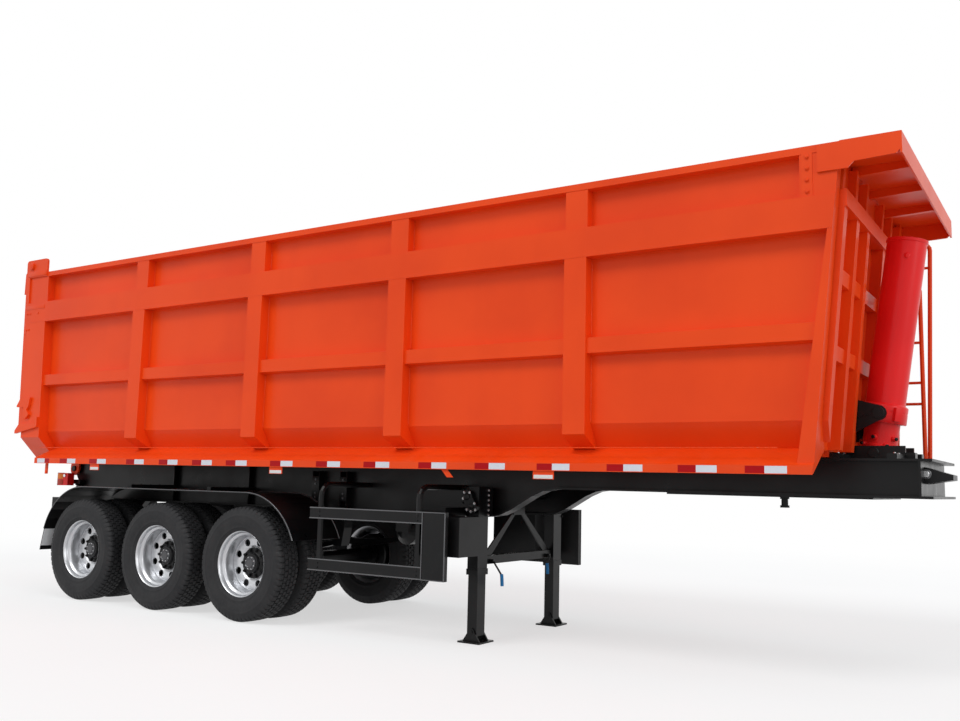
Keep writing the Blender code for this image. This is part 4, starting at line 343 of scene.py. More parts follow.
class Shape:
    """Gathers closed solids into one mesh."""

    AXIS = 0.0006

    def __init__(self):
        self.work = bmesh.new()

    def box(self, low, high, turn=None, bevel=0.0):
        """A bar between two corners, turned about its middle, its edges rounded."""
        low, high = Vector(low), Vector(high)
        made = bmesh.ops.create_cube(self.work, size=1.0)
        verts = made["verts"]
        bmesh.ops.scale(self.work, vec=high - low, verts=verts)
        if bevel:
            edges = list({edge for vert in verts for edge in vert.link_edges})
            out = bmesh.ops.bevel(self.work, geom=edges, offset=bevel, segments=2, affect="EDGES",
                                  profile=0.6)
            verts = list({vert for face in out["faces"] for vert in face.verts} |
                         {vert for vert in verts if vert.is_valid})
        place = Matrix.Translation((low + high) / 2) @ (turn or Matrix.Identity(4))
        bmesh.ops.transform(self.work, matrix=place, verts=verts)

    def side_box(self, sign, stations, reach, heights, bevel=0.0):
        """A bar on one side, between two stations, two distances from the middle and two heights."""
        near, far = sorted(sign * distance for distance in reach)
        self.box((at(stations[0]), near, heights[0]), (at(stations[1]), far, heights[1]), bevel=bevel)

    def joined(self, rings):
        """Faces between each ring of corners and the next."""
        count = len(rings[0])
        for first, second in zip(rings, rings[1:]):
            for step in range(count):
                after = (step + 1) % count
                self.work.faces.new((first[step], first[after], second[after], second[step]))

    def closed(self, rings):
        """A skin over the rings, with a flat face on each end."""
        self.joined(rings)
        self.work.faces.new(list(reversed(rings[0])))
        self.work.faces.new(rings[-1])

    def circle(self, radius, height, sides, place):
        """The corners of one ring about Z, set in place."""
        return [self.work.verts.new(place @ Vector((x, y, height))) for _, x, y in ring(sides, radius)]

    def lathe(self, profile, segments, place):
        """Turns a closed (radius, height) profile about Z."""
        rings = [self.circle(radius, height, segments, place) for radius, height in profile]
        self.joined(rings + rings[:1])

    def turned(self, profile, segments, place):
        """Turns an open profile about Z, closed along the axis at its first and last height."""
        self.lathe([(self.AXIS, profile[0][1]), *profile, (self.AXIS, profile[-1][1])], segments, place)

    def rod(self, start, end, radius, sides=20, bevel=0.0):
        """A round or many-sided bar, its ends chamfered."""
        start, end = Vector(start), Vector(end)
        along = end - start
        ease = min(bevel, along.length / 3, radius / 2)
        turn = Vector((0, 0, 1)).rotation_difference(along).to_matrix().to_4x4()
        place = Matrix.Translation(start) @ turn
        stops = [(radius, 0), (radius, along.length)]
        if ease:
            stops = [(radius - ease, 0), (radius, ease), (radius, along.length - ease),
                     (radius - ease, along.length)]
        self.closed([self.circle(wide, height, sides, place) for wide, height in stops])

    def side_rod(self, sign, station, height, reach, radius, sides=20, bevel=0.0):
        """A round bar across the trailer on one side, between two distances from the middle."""
        self.rod((at(station), sign * reach[0], height), (at(station), sign * reach[1], height),
                 radius, sides, bevel)

    def sweep(self, points, radius, sides=10):
        """A round tube along a polyline, mitred at its corners."""
        points = [Vector(point) for point in points]
        normal = None
        rings = []
        for place, point in enumerate(points):
            before = (point - points[place - 1]).normalized() if place else None
            after = (points[place + 1] - point).normalized() if place < len(points) - 1 else None
            tangent = ((before or after) + (after or before)).normalized()
            if normal is None:
                normal = tangent.orthogonal().normalized()
            normal = (normal - tangent * normal.dot(tangent)).normalized()
            side = tangent.cross(normal)
            rings.append([self.work.verts.new(point + normal * x + side * y)
                          for _, x, y in ring(sides, radius)])
        self.closed(rings)

    def slab(self, outline, direction):
        """A flat closed outline of 3-D points pushed along a direction."""
        direction = Vector(direction)
        first = [self.work.verts.new(Vector(point)) for point in outline]
        second = [self.work.verts.new(Vector(point) + direction) for point in outline]
        self.closed([first, second])

    def mesh(self, name):
        """The gathered solids as one mesh, faces outwards."""
        bmesh.ops.recalc_face_normals(self.work, faces=self.work.faces)
        made = bpy.data.meshes.new(name)
        self.work.to_mesh(made)
        self.work.free()
        return made


def evaluated(holder, helpers):
    """The mesh that an object's modifiers give, once the object and its helpers are gone."""
    bpy.context.view_layer.update()
    seen = holder.evaluated_get(bpy.context.evaluated_depsgraph_get())
    made = bpy.data.meshes.new_from_object(seen)
    for old in (holder, *helpers):
        bpy.data.objects.remove(old, do_unlink=True)
    return made


def repeated(name, item, places, material):
    """Copies of one mesh on points, each with its own turn, made by a node group and applied."""
    cloud = bpy.data.meshes.new(name)
    cloud.from_pydata([place for place, _ in places], [], [])
    turns = cloud.attributes.new("turn", "FLOAT_VECTOR", "POINT")
    for index, (_, turn) in enumerate(places):
        turns.data[index].vector = turn
    holder = linked(name, cloud)
    sample = linked(name + "_sample", item)
    group = bpy.data.node_groups.new(name, "GeometryNodeTree")
    group.interface.new_socket("Geometry", in_out="INPUT", socket_type="NodeSocketGeometry")
    group.interface.new_socket("Size", in_out="INPUT", socket_type="NodeSocketFloat")
    group.interface.new_socket("Geometry", in_out="OUTPUT", socket_type="NodeSocketGeometry")
    group.interface.items_tree["Size"].default_value = 1.0
    source = group.nodes.new("NodeGroupInput")
    result = group.nodes.new("NodeGroupOutput")
    copies = group.nodes.new("GeometryNodeInstanceOnPoints")
    info = group.nodes.new("GeometryNodeObjectInfo")
    info.inputs["Object"].default_value = sample
    turn = group.nodes.new("GeometryNodeInputNamedAttribute")
    turn.data_type = "FLOAT_VECTOR"
    turn.inputs["Name"].default_value = "turn"
    real = group.nodes.new("GeometryNodeRealizeInstances")
    finish = group.nodes.new("GeometryNodeSetMaterial")
    finish.inputs["Material"].default_value = material
    link = group.links.new
    link(source.outputs["Geometry"], copies.inputs["Points"])
    link(info.outputs["Geometry"], copies.inputs["Instance"])
    link(turn.outputs["Attribute"], copies.inputs["Rotation"])
    link(source.outputs["Size"], copies.inputs["Scale"])
    link(copies.outputs["Instances"], real.inputs["Geometry"])
    link(real.outputs["Geometry"], finish.inputs["Geometry"])
    link(finish.outputs["Geometry"], result.inputs["Geometry"])
    step = holder.modifiers.new("copies", "NODES")
    step.node_group = group
    return evaluated(holder, [sample])


def moved(mesh, place):
    """A copy of a mesh with its place in its points."""
    made = mesh.copy()
    made.transform(place)
    return made


def bolt_mesh(radius, height):
    """A hexagon head on its washer, standing along +Z."""
    shape = Shape()
    shape.rod((0, 0, 0), (0, 0, height * 0.22), radius * 1.30, 20, height * 0.05)
    shape.rod((0, 0, height * 0.20), (0, 0, height * 0.85), radius, 6, height * 0.12)
    shape.rod((0, 0, height * 0.8), (0, 0, height), radius * 0.55, 14, height * 0.05)
    return shape.mesh("bolt")


def bolts(name, places, material, body, radius, height):
    """Bolt heads standing on the given spots, each with its own turn."""
    heads = repeated(name, bolt_mesh(radius, height), places, material)
    add_piece(name, heads, material, body)


# Wheels, each modelled about Z with +Z outboard
TO_Y = Matrix.Rotation(-math.pi / 2, 4, "X")
HERE = Matrix.Identity(4)
TREAD_BLOCKS = 62
BLOCK_SPLITS = (0.0, 0.07, 0.20, 0.27)
SUNK_SPLITS = (1, 2)
TREAD_RADIUS = TYRE_RADIUS - 0.0015
TREAD_HALF = 0.106
TREAD_CROWN = 0.0035
TREAD_EASE = 0.006
BLOCK_DEPTH = 0.010
EDGE_BLOCK_DEPTH = 0.011
GROOVES = (-0.066, -0.022, 0.022, 0.066)
GROOVE_HALF = 0.0052
GROOVE_FLOOR_HALF = 0.003
GROOVE_DEPTH = 0.014
SIDEWALL = ((0.300, 0.100), (0.3015, 0.108), (0.309, 0.1135), (0.318, 0.1180), (0.330, 0.1235),
            (0.3335, 0.1268), (0.3385, 0.1272), (0.342, 0.1262), (0.365, 0.1325), (0.392, 0.1378),
            (0.415, 0.1392), (0.436, 0.1385), (0.440, 0.1395), (0.446, 0.1392), (0.449, 0.1372),
            (0.468, 0.1325))
SHOULDER = ((0.484, 0.1262, 0.002), (0.500, 0.1195, 0.007), (0.514, 0.1130, 0.010))
TYRE_PHASES = (("outer", TWIN_SHIFT, 0.3), ("inner", -TWIN_SHIFT, 1.1))
WHEEL_PHASES = (0.05, -0.04, 0.02)
HAND_HOLES = 8
HOLE_CIRCLE = 0.200
HOLE_RADIUS = 0.0335
HOLE_CUT = (0.05, 0.22)
RIM_END = TWIN_SHIFT + 0.108
NUTS = 10
NUT_CIRCLE = 0.126
NUT_PARTS = ((0.112, 0.119, 0.0190, 24, 0.002), (0.117, 0.136, 0.0160, 6, 0.003),
             (0.134, 0.144, 0.0105, 16, 0.0015))
CAP_BOLTS = 8
CAP_BOLT_CIRCLE = 0.055
CAP_BOLT_SEAT = 0.1628
CAP_BOLT_RADIUS = 0.0055
CAP_BOLT_HEIGHT = 0.008


def tyre_mesh():
    """Sidewall with its ribs and a block tread between four grooves."""
    side = [(radius, height, 0.0, 0.0) for radius, height in SIDEWALL]
    side += [(radius, height, depth, 0.0) for radius, height, depth in SHOULDER]
    side.append((TREAD_RADIUS - TREAD_EASE, TREAD_HALF, EDGE_BLOCK_DEPTH, 0.0))
    rings = [(radius, -height, depth, offset) for radius, height, depth, offset in side]
    edge = TREAD_EASE - TREAD_HALF
    for number, middle in enumerate(GROOVES + (None,)):
        offset = (number % 2) / 2
        stop = TREAD_HALF - TREAD_EASE if middle is None else middle - GROOVE_HALF
        crown = TREAD_CROWN * ((edge + stop) / 2 / TREAD_HALF) ** 2
        rings += [(TREAD_RADIUS - crown, height, BLOCK_DEPTH, offset) for height in (edge, stop)]
        if middle is not None:
            floor = TREAD_RADIUS - GROOVE_DEPTH
            rings += [(floor, middle - GROOVE_FLOOR_HALF, 0.0, offset),
                      (floor, middle + GROOVE_FLOOR_HALF, 0.0, ((number + 1) % 2) / 2)]
            edge = middle + GROOVE_HALF
    rings += reversed(side)
    shape = Shape()
    loops = []
    for radius, height, depth, offset in rings:
        loop = []
        for block in range(TREAD_BLOCKS):
            for place, share in enumerate(BLOCK_SPLITS):
                angle = math.tau * (block + share + offset) / TREAD_BLOCKS
                deep = radius - (depth if place in SUNK_SPLITS else 0.0)
                loop.append(shape.work.verts.new((deep * math.cos(angle), deep * math.sin(angle), height)))
        loops.append(loop)
    shape.joined(loops + loops[:1])
    return shape.mesh("tyre")


def cut(mesh, cutters):
    """The mesh with other closed meshes taken out."""
    base = linked("base", mesh)
    tool = linked("tool", cutters)
    step = base.modifiers.new("cut", "BOOLEAN")
    step.operation = "DIFFERENCE"
    step.solver = "EXACT"
    step.object = tool
    return evaluated(base, [tool])


def rim_mesh():
    """The outer dished rim with its disc, drilled with the hand holes."""
    end = RIM_END
    lip = [(0.2990, end - 0.020), (0.3035, end - 0.010), (0.3045, end - 0.003), (0.3010, end),
           (0.2960, end - 0.003), (0.2900, end - 0.012), (0.2860, end - 0.030), (0.2820, end - 0.040),
           (0.2640, end - 0.052), (0.2600, end - 0.058), (0.2570, end - 0.092)]
    disc = [(0.2555, 0.150), (0.2540, 0.128), (0.2515, 0.121), (0.2480, 0.119), (0.2450, 0.121),
            (0.2430, 0.126), (0.2380, 0.1285), (0.2100, 0.127), (0.1720, 0.124), (0.1620, 0.120),
            (0.1540, 0.113), (0.1450, 0.109), (0.1100, 0.109)]
    back = [(0.1100, 0.097), (0.1560, 0.097), (0.1750, 0.112), (0.2380, 0.114), (0.2580, 0.114),
            (0.2640, 0.150), (0.2680, end - 0.060), (0.2985, end - 0.030)]
    shape = Shape()
    shape.lathe(lip + disc + back, 96, HERE)
    holes = Shape()
    for _, x, y in ring(HAND_HOLES, HOLE_CIRCLE, 0.5):
        holes.rod((x, y, HOLE_CUT[0]), (x, y, HOLE_CUT[1]), HOLE_RADIUS, 32)
    return cut(shape.mesh("rim"), holes.mesh("holes"))


def inner_rim_mesh():
    """The inner twin's rim, behind the outer disc."""
    end = RIM_END
    shape = Shape()
    shape.lathe([(0.2985, 0.004), (0.2985, 0.020 - end), (0.3035, 0.010 - end), (0.3010, -end),
                 (0.2900, 0.012 - end), (0.2600, 0.060 - end), (0.2560, -0.060), (0.2300, -0.018),
                 (0.2300, 0.004)], 72, HERE)
    return shape.mesh("inner_rim")


def drum_mesh():
    """The brake drum with the ring at its open end."""
    shape = Shape()
    shape.lathe([(0.060, 0.096), (0.150, 0.096), (0.160, 0.030), (0.212, -0.020), (0.214, -0.060),
                 (0.210, -0.066), (0.210, -0.150), (0.216, -0.158), (0.216, -0.235), (0.203, -0.245),
                 (0.060, -0.245)], 72, HERE)
    return shape.mesh("drum")


def hub_mesh():
    """The hub's flange and nose."""
    shape = Shape()
    shape.turned([(0.144, 0.107), (0.144, 0.113), (0.140, 0.117), (0.104, 0.121), (0.096, 0.127),
                  (0.090, 0.150), (0.086, 0.154)], 64, HERE)
    return shape.mesh("hub")


def hub_cap_mesh():
    """The screwed cap on the hub's nose."""
    shape = Shape()
    shape.turned([(0.066, 0.150), (0.066, 0.158), (0.062, 0.163), (0.048, 0.166), (0.044, 0.173),
                  (0.039, 0.175), (0.035, 0.172)], 48, HERE)
    return shape.mesh("cap")


def nut_ring_mesh():
    """Wheel nuts on their washers, each with the stud's end."""
    nut = Shape()
    for low, high, radius, sides, bevel in NUT_PARTS:
        nut.rod((0, 0, low), (0, 0, high), radius, sides, bevel)
    places = [((x, y, 0.0), (0, 0, angle)) for angle, x, y in ring(NUTS, NUT_CIRCLE)]
    return repeated("nuts", nut.mesh("nut"), places, HUB_BLACK)


def cap_bolt_mesh():
    """Small bolts around the hub cap."""
    places = [((x, y, CAP_BOLT_SEAT), (0, 0, angle))
              for angle, x, y in ring(CAP_BOLTS, CAP_BOLT_CIRCLE, 0.5)]
    return repeated("cap_bolts", bolt_mesh(CAP_BOLT_RADIUS, CAP_BOLT_HEIGHT), places, STEEL)


def build_wheels():
    """Six twin wheels: rims, hub, drum, nuts and two tyres on each end of each axle."""
    tyre, rim, inner, drum = tyre_mesh(), rim_mesh(), inner_rim_mesh(), drum_mesh()
    hub, cap, nuts, cap_bolts = hub_mesh(), hub_cap_mesh(), nut_ring_mesh(), cap_bolt_mesh()
    for number in range(AXLE_COUNT):
        for side, sign in SIDES:
            tag = f"{number + 1}_{side}"
            body = f"wheels_{tag}"
            spot = Matrix.Translation((at(AXLE_SPACING * number), sign * TWIN_Y, TYRE_RADIUS))
            turn = spot @ Matrix.Rotation(0 if sign > 0 else math.pi, 4, "Z") @ TO_Y
            spun = turn @ Matrix.Rotation(WHEEL_PHASES[number], 4, "Z")
            add_piece(f"rim_{tag}", moved(rim, spun), SILVER, body,
                      stands_for=(f"wheel_{tag}",))
            add_piece(f"inner_rim_{tag}", moved(inner, turn), SILVER, body)
            add_piece(f"hub_{tag}", moved(hub, turn), HUB_BLACK, body)
            add_piece(f"hub_cap_{tag}", moved(cap, spun), DARK_STEEL, body)
            add_piece(f"drum_{tag}", moved(drum, turn), HUB_BLACK, body)
            add_piece(f"nuts_{tag}", moved(nuts, spun), HUB_BLACK, body)
            add_piece(f"cap_bolts_{tag}", moved(cap_bolts, spun), STEEL, body)
            for kind, shift, phase in TYRE_PHASES:
                where = Matrix.Translation((0, 0, shift)) @ Matrix.Rotation(phase + number, 4, "Z")
                add_piece(f"tread_tyre_{kind}_{tag}", moved(tyre, turn @ where), RUBBER, body,
                          angle=40, stands_for=(f"tyre_{kind}_{tag}",))


# Details of the body
SILL_FACE = 1.250
SILL_BACK = 1.238
SHELF_TOP = 1.600
SHEET_Y = 1.116
TOP_SHEET_Y = 1.118
LAP = 0.0005
FACE_OUT = {-1: (math.pi / 2, 0, 0), 1: (-math.pi / 2, 0, 0)}
TAPE_STATIONS = (-0.42, 0.10, 0.71, 1.22, 1.71, 2.18, 2.76, 3.32, 3.86, 4.44, 4.99, 5.55, 6.13, 6.67, 7.14)
TAPE_HEIGHTS = (1.430, 1.479)
TAPE_REACH = (SILL_FACE - 0.001, SILL_FACE + 0.0002)
TAPE_RED_LENGTH = 0.130
TAPE_WHITE_LENGTH = 0.148
TAPE_JOINT = 0.001
REAR_TAPE = (("white", -0.835, -0.697), ("red", -0.696, -0.614))


def build_tape():
    """Reflective strips in red and white along the sill, on both sides."""
    for side, sign in SIDES:
        strips = {"red": Shape(), "white": Shape()}
        spots = list(REAR_TAPE)
        for start in TAPE_STATIONS:
            joint = start + TAPE_RED_LENGTH
            spots.append(("red", start, joint))
            spots.append(("white", joint + TAPE_JOINT, joint + TAPE_WHITE_LENGTH))
        for colour, start, end in spots:
            strips[colour].side_box(sign, (start, end), TAPE_REACH, TAPE_HEIGHTS)
        add_piece(f"tape_red_{side}", strips["red"].mesh("tape_red"), TAPE_RED, "bed")
        add_piece(f"tape_white_{side}", strips["white"].mesh("tape_white"), TAPE_WHITE, "bed")


TAB_STATIONS = ((0.10, 0.25), (2.74, 2.90), (5.51, 5.69))
TAB_SHEET = 0.006
TAB_HEIGHTS = (1.362, 1.460)
PLATE_HEIGHTS = (1.366, 1.394)
PLATE_MARGIN = 0.008
PLATE_HALF = 0.001
HOOK_STATIONS = (-0.750, -0.700)
HOOK_REACH = (1.196, 1.204)
HOOK_HEIGHTS = (1.312, 1.470)
HOOK_PIN_STATION = -0.725
HOOK_PIN_HEIGHT = 1.325
HOOK_PIN_REACH = (1.190, 1.212)
HOOK_PIN_RADIUS = 0.014
SLANT_TOP = (4.640, 4.700)
SLANT_FOOT = (4.772, 4.712)
SLANT_HEIGHTS = (1.440, 1.362)
SLANT_Y = 1.230


def build_sill_tabs():
    """Small orange tabs under the sill with blank white plates, and the hanging hook at the rear."""
    for side, sign in SIDES:
        tabs, plates = Shape(), Shape()
        for low, high in TAB_STATIONS:
            tabs.side_box(sign, (low, high), (SILL_BACK - LAP - TAB_SHEET, SILL_BACK - LAP), TAB_HEIGHTS,
                          bevel=TAB_EASE)
            plates.side_box(sign, (low + PLATE_MARGIN, high - PLATE_MARGIN),
                            (SILL_BACK - PLATE_HALF, SILL_BACK + PLATE_HALF), PLATE_HEIGHTS, bevel=FINE_EASE)
        tabs.side_box(sign, HOOK_STATIONS, HOOK_REACH, HOOK_HEIGHTS, bevel=PLATE_EASE)
        tabs.side_rod(sign, HOOK_PIN_STATION, HOOK_PIN_HEIGHT, HOOK_PIN_REACH, HOOK_PIN_RADIUS,
                      sides=16, bevel=PLATE_EASE)
        slant = [(at(station), sign * SLANT_Y, height)
                 for stations, height in zip((SLANT_TOP, SLANT_FOOT), SLANT_HEIGHTS)
                 for station in stations]
        tabs.slab(slant, (0, -sign * TAB_SHEET, 0))
        add_piece(f"sill_tabs_{side}", tabs.mesh("tabs"), ORANGE, "bed")
        add_piece(f"sill_plates_{side}", plates.mesh("plates"), PLATE_WHITE, "bed")


POST_STATIONS = tuple(0.70 + 1.713 * number for number in range(4))
POST_HALF = 0.187 / 2
SEAM_SPANS = ((1.80, 2.285), (2.452, 3.035))
SEAM_LIFT = 0.001
SEAM_RADIUS = 0.0042
FINE_SEAM_RADIUS = 0.0036
TOP_SEAM = (3.285, 3.572)
SHELF_SEAM = (-0.86, 7.35)
SHELF_SEAM_Y = 1.214
SHELF_SEAM_PITCH = 0.05
BEAD_PITCH = 0.035
BEAD_SIDES = 6
RIPPLE_HALF = 0.30
RIPPLE_GROWTH = 1.18


def bead(shape, start, end, radius, pitch=BEAD_PITCH):
    """A weld bead: a thin rod with rippled rings."""
    start, end = Vector(start), Vector(end)
    steps = max(2, int((end - start).length / pitch))
    points = [start.lerp(end, step / steps) for step in range(steps + 1)]
    shape.sweep(points, radius, BEAD_SIDES)
    along = (end - start).normalized() * pitch * RIPPLE_HALF
    for step in range(steps):
        middle = start.lerp(end, (step + 0.5) / steps)
        shape.rod(middle - along, middle + along, radius * RIPPLE_GROWTH, BEAD_SIDES)


def build_welds():
    """Beads where the posts and rails meet the side sheets."""
    for side, sign in SIDES:
        seams = Shape()
        y = sign * (SHEET_Y + SEAM_LIFT)
        top_y = sign * TOP_SHEET_Y
        for station in POST_STATIONS:
            for edge in (-POST_HALF, POST_HALF):
                x = at(station + edge)
                for low, high in SEAM_SPANS:
                    bead(seams, (x, y, low), (x, y, high), SEAM_RADIUS)
                bead(seams, (x, top_y, TOP_SEAM[0]), (x, top_y, TOP_SEAM[1]), FINE_SEAM_RADIUS)
        start, end = ((at(station), sign * SHELF_SEAM_Y, SHELF_TOP) for station in SHELF_SEAM)
        bead(seams, start, end, FINE_SEAM_RADIUS, SHELF_SEAM_PITCH)
        add_piece(f"weld_beads_{side}", seams.mesh("beads"), ORANGE, "bed", angle=60)


CANOPY_BOLT_STATION = 7.571
CANOPY_BOLT_Y = 1.2125
CANOPY_BOLT_HEIGHTS = (3.315, 3.395, 3.475, 3.555)
REAR_BOLTS = ((-1.31, 2.960), (-1.26, 2.965), (-1.31, 3.150), (-1.26, 3.150), (-1.10, 3.150))
REAR_BOLT_Y = 1.2180
BODY_BOLT_RADIUS = 0.0115
BODY_BOLT_HEIGHT = 0.010
STRAPS = (((-1.352, -1.000), (3.594, 3.649)), ((-1.330, -0.980), (3.199, 3.244)))
STRAP_REACH = (1.2165, 1.2235)
GATE_PIN_STATION = -1.285
GATE_PIN_HEIGHT = 3.715
GATE_PIN_PARTS = (((1.214, 1.2420), 0.040, 32, 0.004), ((1.2415, 1.2460), 0.020, 24, 0.002))


def build_body_bolts():
    """Bolts down the joint of the canopy, and on the rear post."""
    for side, sign in SIDES:
        rows = [((at(CANOPY_BOLT_STATION), sign * CANOPY_BOLT_Y, z), FACE_OUT[sign])
                for z in CANOPY_BOLT_HEIGHTS]
        rows += [((at(station), sign * REAR_BOLT_Y, z), FACE_OUT[sign]) for station, z in REAR_BOLTS]
        bolts(f"body_bolts_{side}", rows, ORANGE, "bed",
              radius=BODY_BOLT_RADIUS, height=BODY_BOLT_HEIGHT)


def build_straps():
    """Two straps across the rear post, and the head of the tailgate's pin."""
    for side, sign in SIDES:
        straps = Shape()
        for stations, heights in STRAPS:
            straps.side_box(sign, stations, STRAP_REACH, heights, bevel=PLATE_EASE)
        add_piece(f"rear_straps_{side}", straps.mesh("straps"), ORANGE, "bed")
        pin = Shape()
        for reach, radius, sides, bevel in GATE_PIN_PARTS:
            pin.side_rod(sign, GATE_PIN_STATION, GATE_PIN_HEIGHT, reach, radius, sides, bevel)
        add_piece(f"gate_pin_head_{side}", pin.mesh("pin"), ORANGE, "bed")


# Details of the chassis
LENS_MARGIN = 0.008
LENS_SPLIT = 0.003
LENS_INSET = 0.006
LENS_DEPTH = (-0.006, 0.002)
SIDE_LENS_DEPTH = (-0.001, 0.004)
SIDE_LENS_LENGTH = (0.004, 0.110)
LAMP_RIM_GROWTH = 0.002
LAMP_RIM_DEPTH = 0.006
LAMP_CAP_BEHIND = 0.135
LAMP_CAP_BELOW = 0.030
LAMP_CAP_RADIUS = 0.020
LAMP_CAP_HEIGHT = 0.010


def build_lamps_look():
    """A red and an amber lens, a black rim and a bright side cap on each rear lamp."""
    for side, sign in SIDES:
        low, high = (Vector(corner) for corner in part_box(f"rear_lamp_{side}"))
        face = high.y if sign > 0 else low.y
        near, far = sorted(face + sign * depth for depth in SIDE_LENS_DEPTH)
        middle = (low.z + high.z) / 2
        lenses = []
        for bottom, top in ((low.z + LENS_MARGIN, middle - LENS_SPLIT),
                            (middle + LENS_SPLIT, high.z - LENS_MARGIN)):
            lens = Shape()
            lens.box((low.x + LENS_DEPTH[0], low.y + LENS_INSET, bottom),
                     (low.x + LENS_DEPTH[1], high.y - LENS_INSET, top), bevel=PLATE_EASE)
            lens.box((low.x + SIDE_LENS_LENGTH[0], near, bottom),
                     (low.x + SIDE_LENS_LENGTH[1], far, top), bevel=SHEET_EASE)
            lenses.append(lens.mesh("lens"))
        rim, cap = Shape(), Shape()
        rim.box((low.x - LAMP_RIM_GROWTH, low.y - LAMP_RIM_GROWTH, low.z - LAMP_RIM_GROWTH),
                (low.x + LAMP_RIM_DEPTH, high.y + LAMP_RIM_GROWTH, high.z + LAMP_RIM_GROWTH),
                bevel=PLATE_EASE)
        x, z = low.x + LAMP_CAP_BEHIND, high.z - LAMP_CAP_BELOW
        cap.rod((x, face, z), (x, face + sign * LAMP_CAP_HEIGHT, z), LAMP_CAP_RADIUS,
                sides=24, bevel=ROUND_EASE)
        add_piece(f"lamp_red_{side}", lenses[0], LENS_RED, "frame")
        add_piece(f"lamp_amber_{side}", lenses[1], LENS_AMBER, "frame")
        add_piece(f"lamp_rim_{side}", rim.mesh("rim"), HUB_BLACK, "frame")
        add_piece(f"lamp_cap_{side}", cap.mesh("cap"), CHROME, "frame")


FENDER_RADIUS = 0.655
FENDER_RIM_LIFT = 0.001
FENDER_FRONT_STATION = 2.46
FENDER_REAR_SWEEP = 73
FENDER_FRONT_SWEEP = 68
FENDER_RIM_STEPS = 24
FENDER_RIM_REACH = (1.2385, 0.606)
FENDER_RIM_RADIUS = 0.0060
FENDER_BOLT_STATIONS = (0.6, 1.8)
FENDER_BOLT_REACH = (0.72, 0.84, 0.96, 1.06)
FENDER_BOLT_LIFT = 0.0395
FLAP_OUT = 0.055
FLAP_BOTTOM = 0.485
BAND_HEIGHTS = (0.530, 0.712)
BAND_MARGIN = 0.004
BAND_SHIFTS = (0.0010, -0.0070)
BAND_SHEET = 0.0012


def on_fender(station, degrees, y, lift=0.0):
    """A point on the mudguard's arc about an axle, by its angle above the horizontal."""
    angle = math.radians(degrees)
    radius = FENDER_RADIUS + lift
    return Vector((at(station) + radius * math.cos(angle), y, TYRE_RADIUS + radius * math.sin(angle)))


def flap_band_mesh(side):
    """The pale band on both faces of a mud flap, which slants back from the mudguard's end."""
    low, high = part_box(f"mud_flap_{side}")
    start = on_fender(0, 90 + FENDER_REAR_SWEEP, 0)
    band = Shape()
    for shift in BAND_SHIFTS:
        outline = []
        for z, ends in zip(BAND_HEIGHTS, ((low[1] + BAND_MARGIN, high[1] - BAND_MARGIN),
                                          (high[1] - BAND_MARGIN, low[1] + BAND_MARGIN))):
            x = start.x - FLAP_OUT * (start.z - z) / (start.z - FLAP_BOTTOM) + shift
            outline += [(x, y, z) for y in ends]
        band.slab(outline, (-BAND_SHEET, 0, 0))
    return band.mesh("band")


def build_fender_edges():
    """A rolled rim along each mudguard in a lighter black that paints its highlight, its stay bolts, and the
    flap's grey band.
    """
    shares = [step / FENDER_RIM_STEPS for step in range(FENDER_RIM_STEPS + 1)]
    for side, sign in SIDES:
        rim = Shape()
        for reach in FENDER_RIM_REACH:
            points = [on_fender(0, 90 + FENDER_REAR_SWEEP * (1 - share), sign * reach, FENDER_RIM_LIFT)
                      for share in shares]
            points += [on_fender(FENDER_FRONT_STATION, 90 - FENDER_FRONT_SWEEP * share, sign * reach,
                                 FENDER_RIM_LIFT) for share in shares]
            rim.sweep(points, FENDER_RIM_RADIUS, 10)
        add_piece(f"fender_rim_{side}", rim.mesh("rim"), HIGHLIGHT_BLACK, "frame")
        height = TYRE_RADIUS + FENDER_RADIUS + FENDER_BOLT_LIFT
        rows = [((at(station), sign * y, height), (0, 0, y))
                for station in FENDER_BOLT_STATIONS for y in FENDER_BOLT_REACH]
        bolts(f"fender_bolts_{side}", rows, HUB_BLACK, "frame",
              radius=0.008, height=0.008)
        add_piece(f"flap_band_{side}", flap_band_mesh(side), FLAP_GREY, "frame")


GUARD_RAILS = (3.23, 4.465)
GUARD_RAIL_EDGES = (1.074, 0.984, 0.630, 0.536)
GUARD_RAIL_REACH = (1.198, 1.206)
RAIL_LIP_HALF = 0.005
GUARD_PLATE = (4.465, 4.690)
GUARD_PLATE_HEIGHTS = (0.530, 1.078)
GUARD_PLATE_REACH = (1.202, 1.209)
PLATE_LIP_HALF = 0.004
GUARD_BOLT_STATIONS = (3.34, 4.41)
GUARD_BOLT_HEIGHTS = (1.005, 1.045, 0.560, 0.600)
GUARD_BOLT_Y = 1.1995


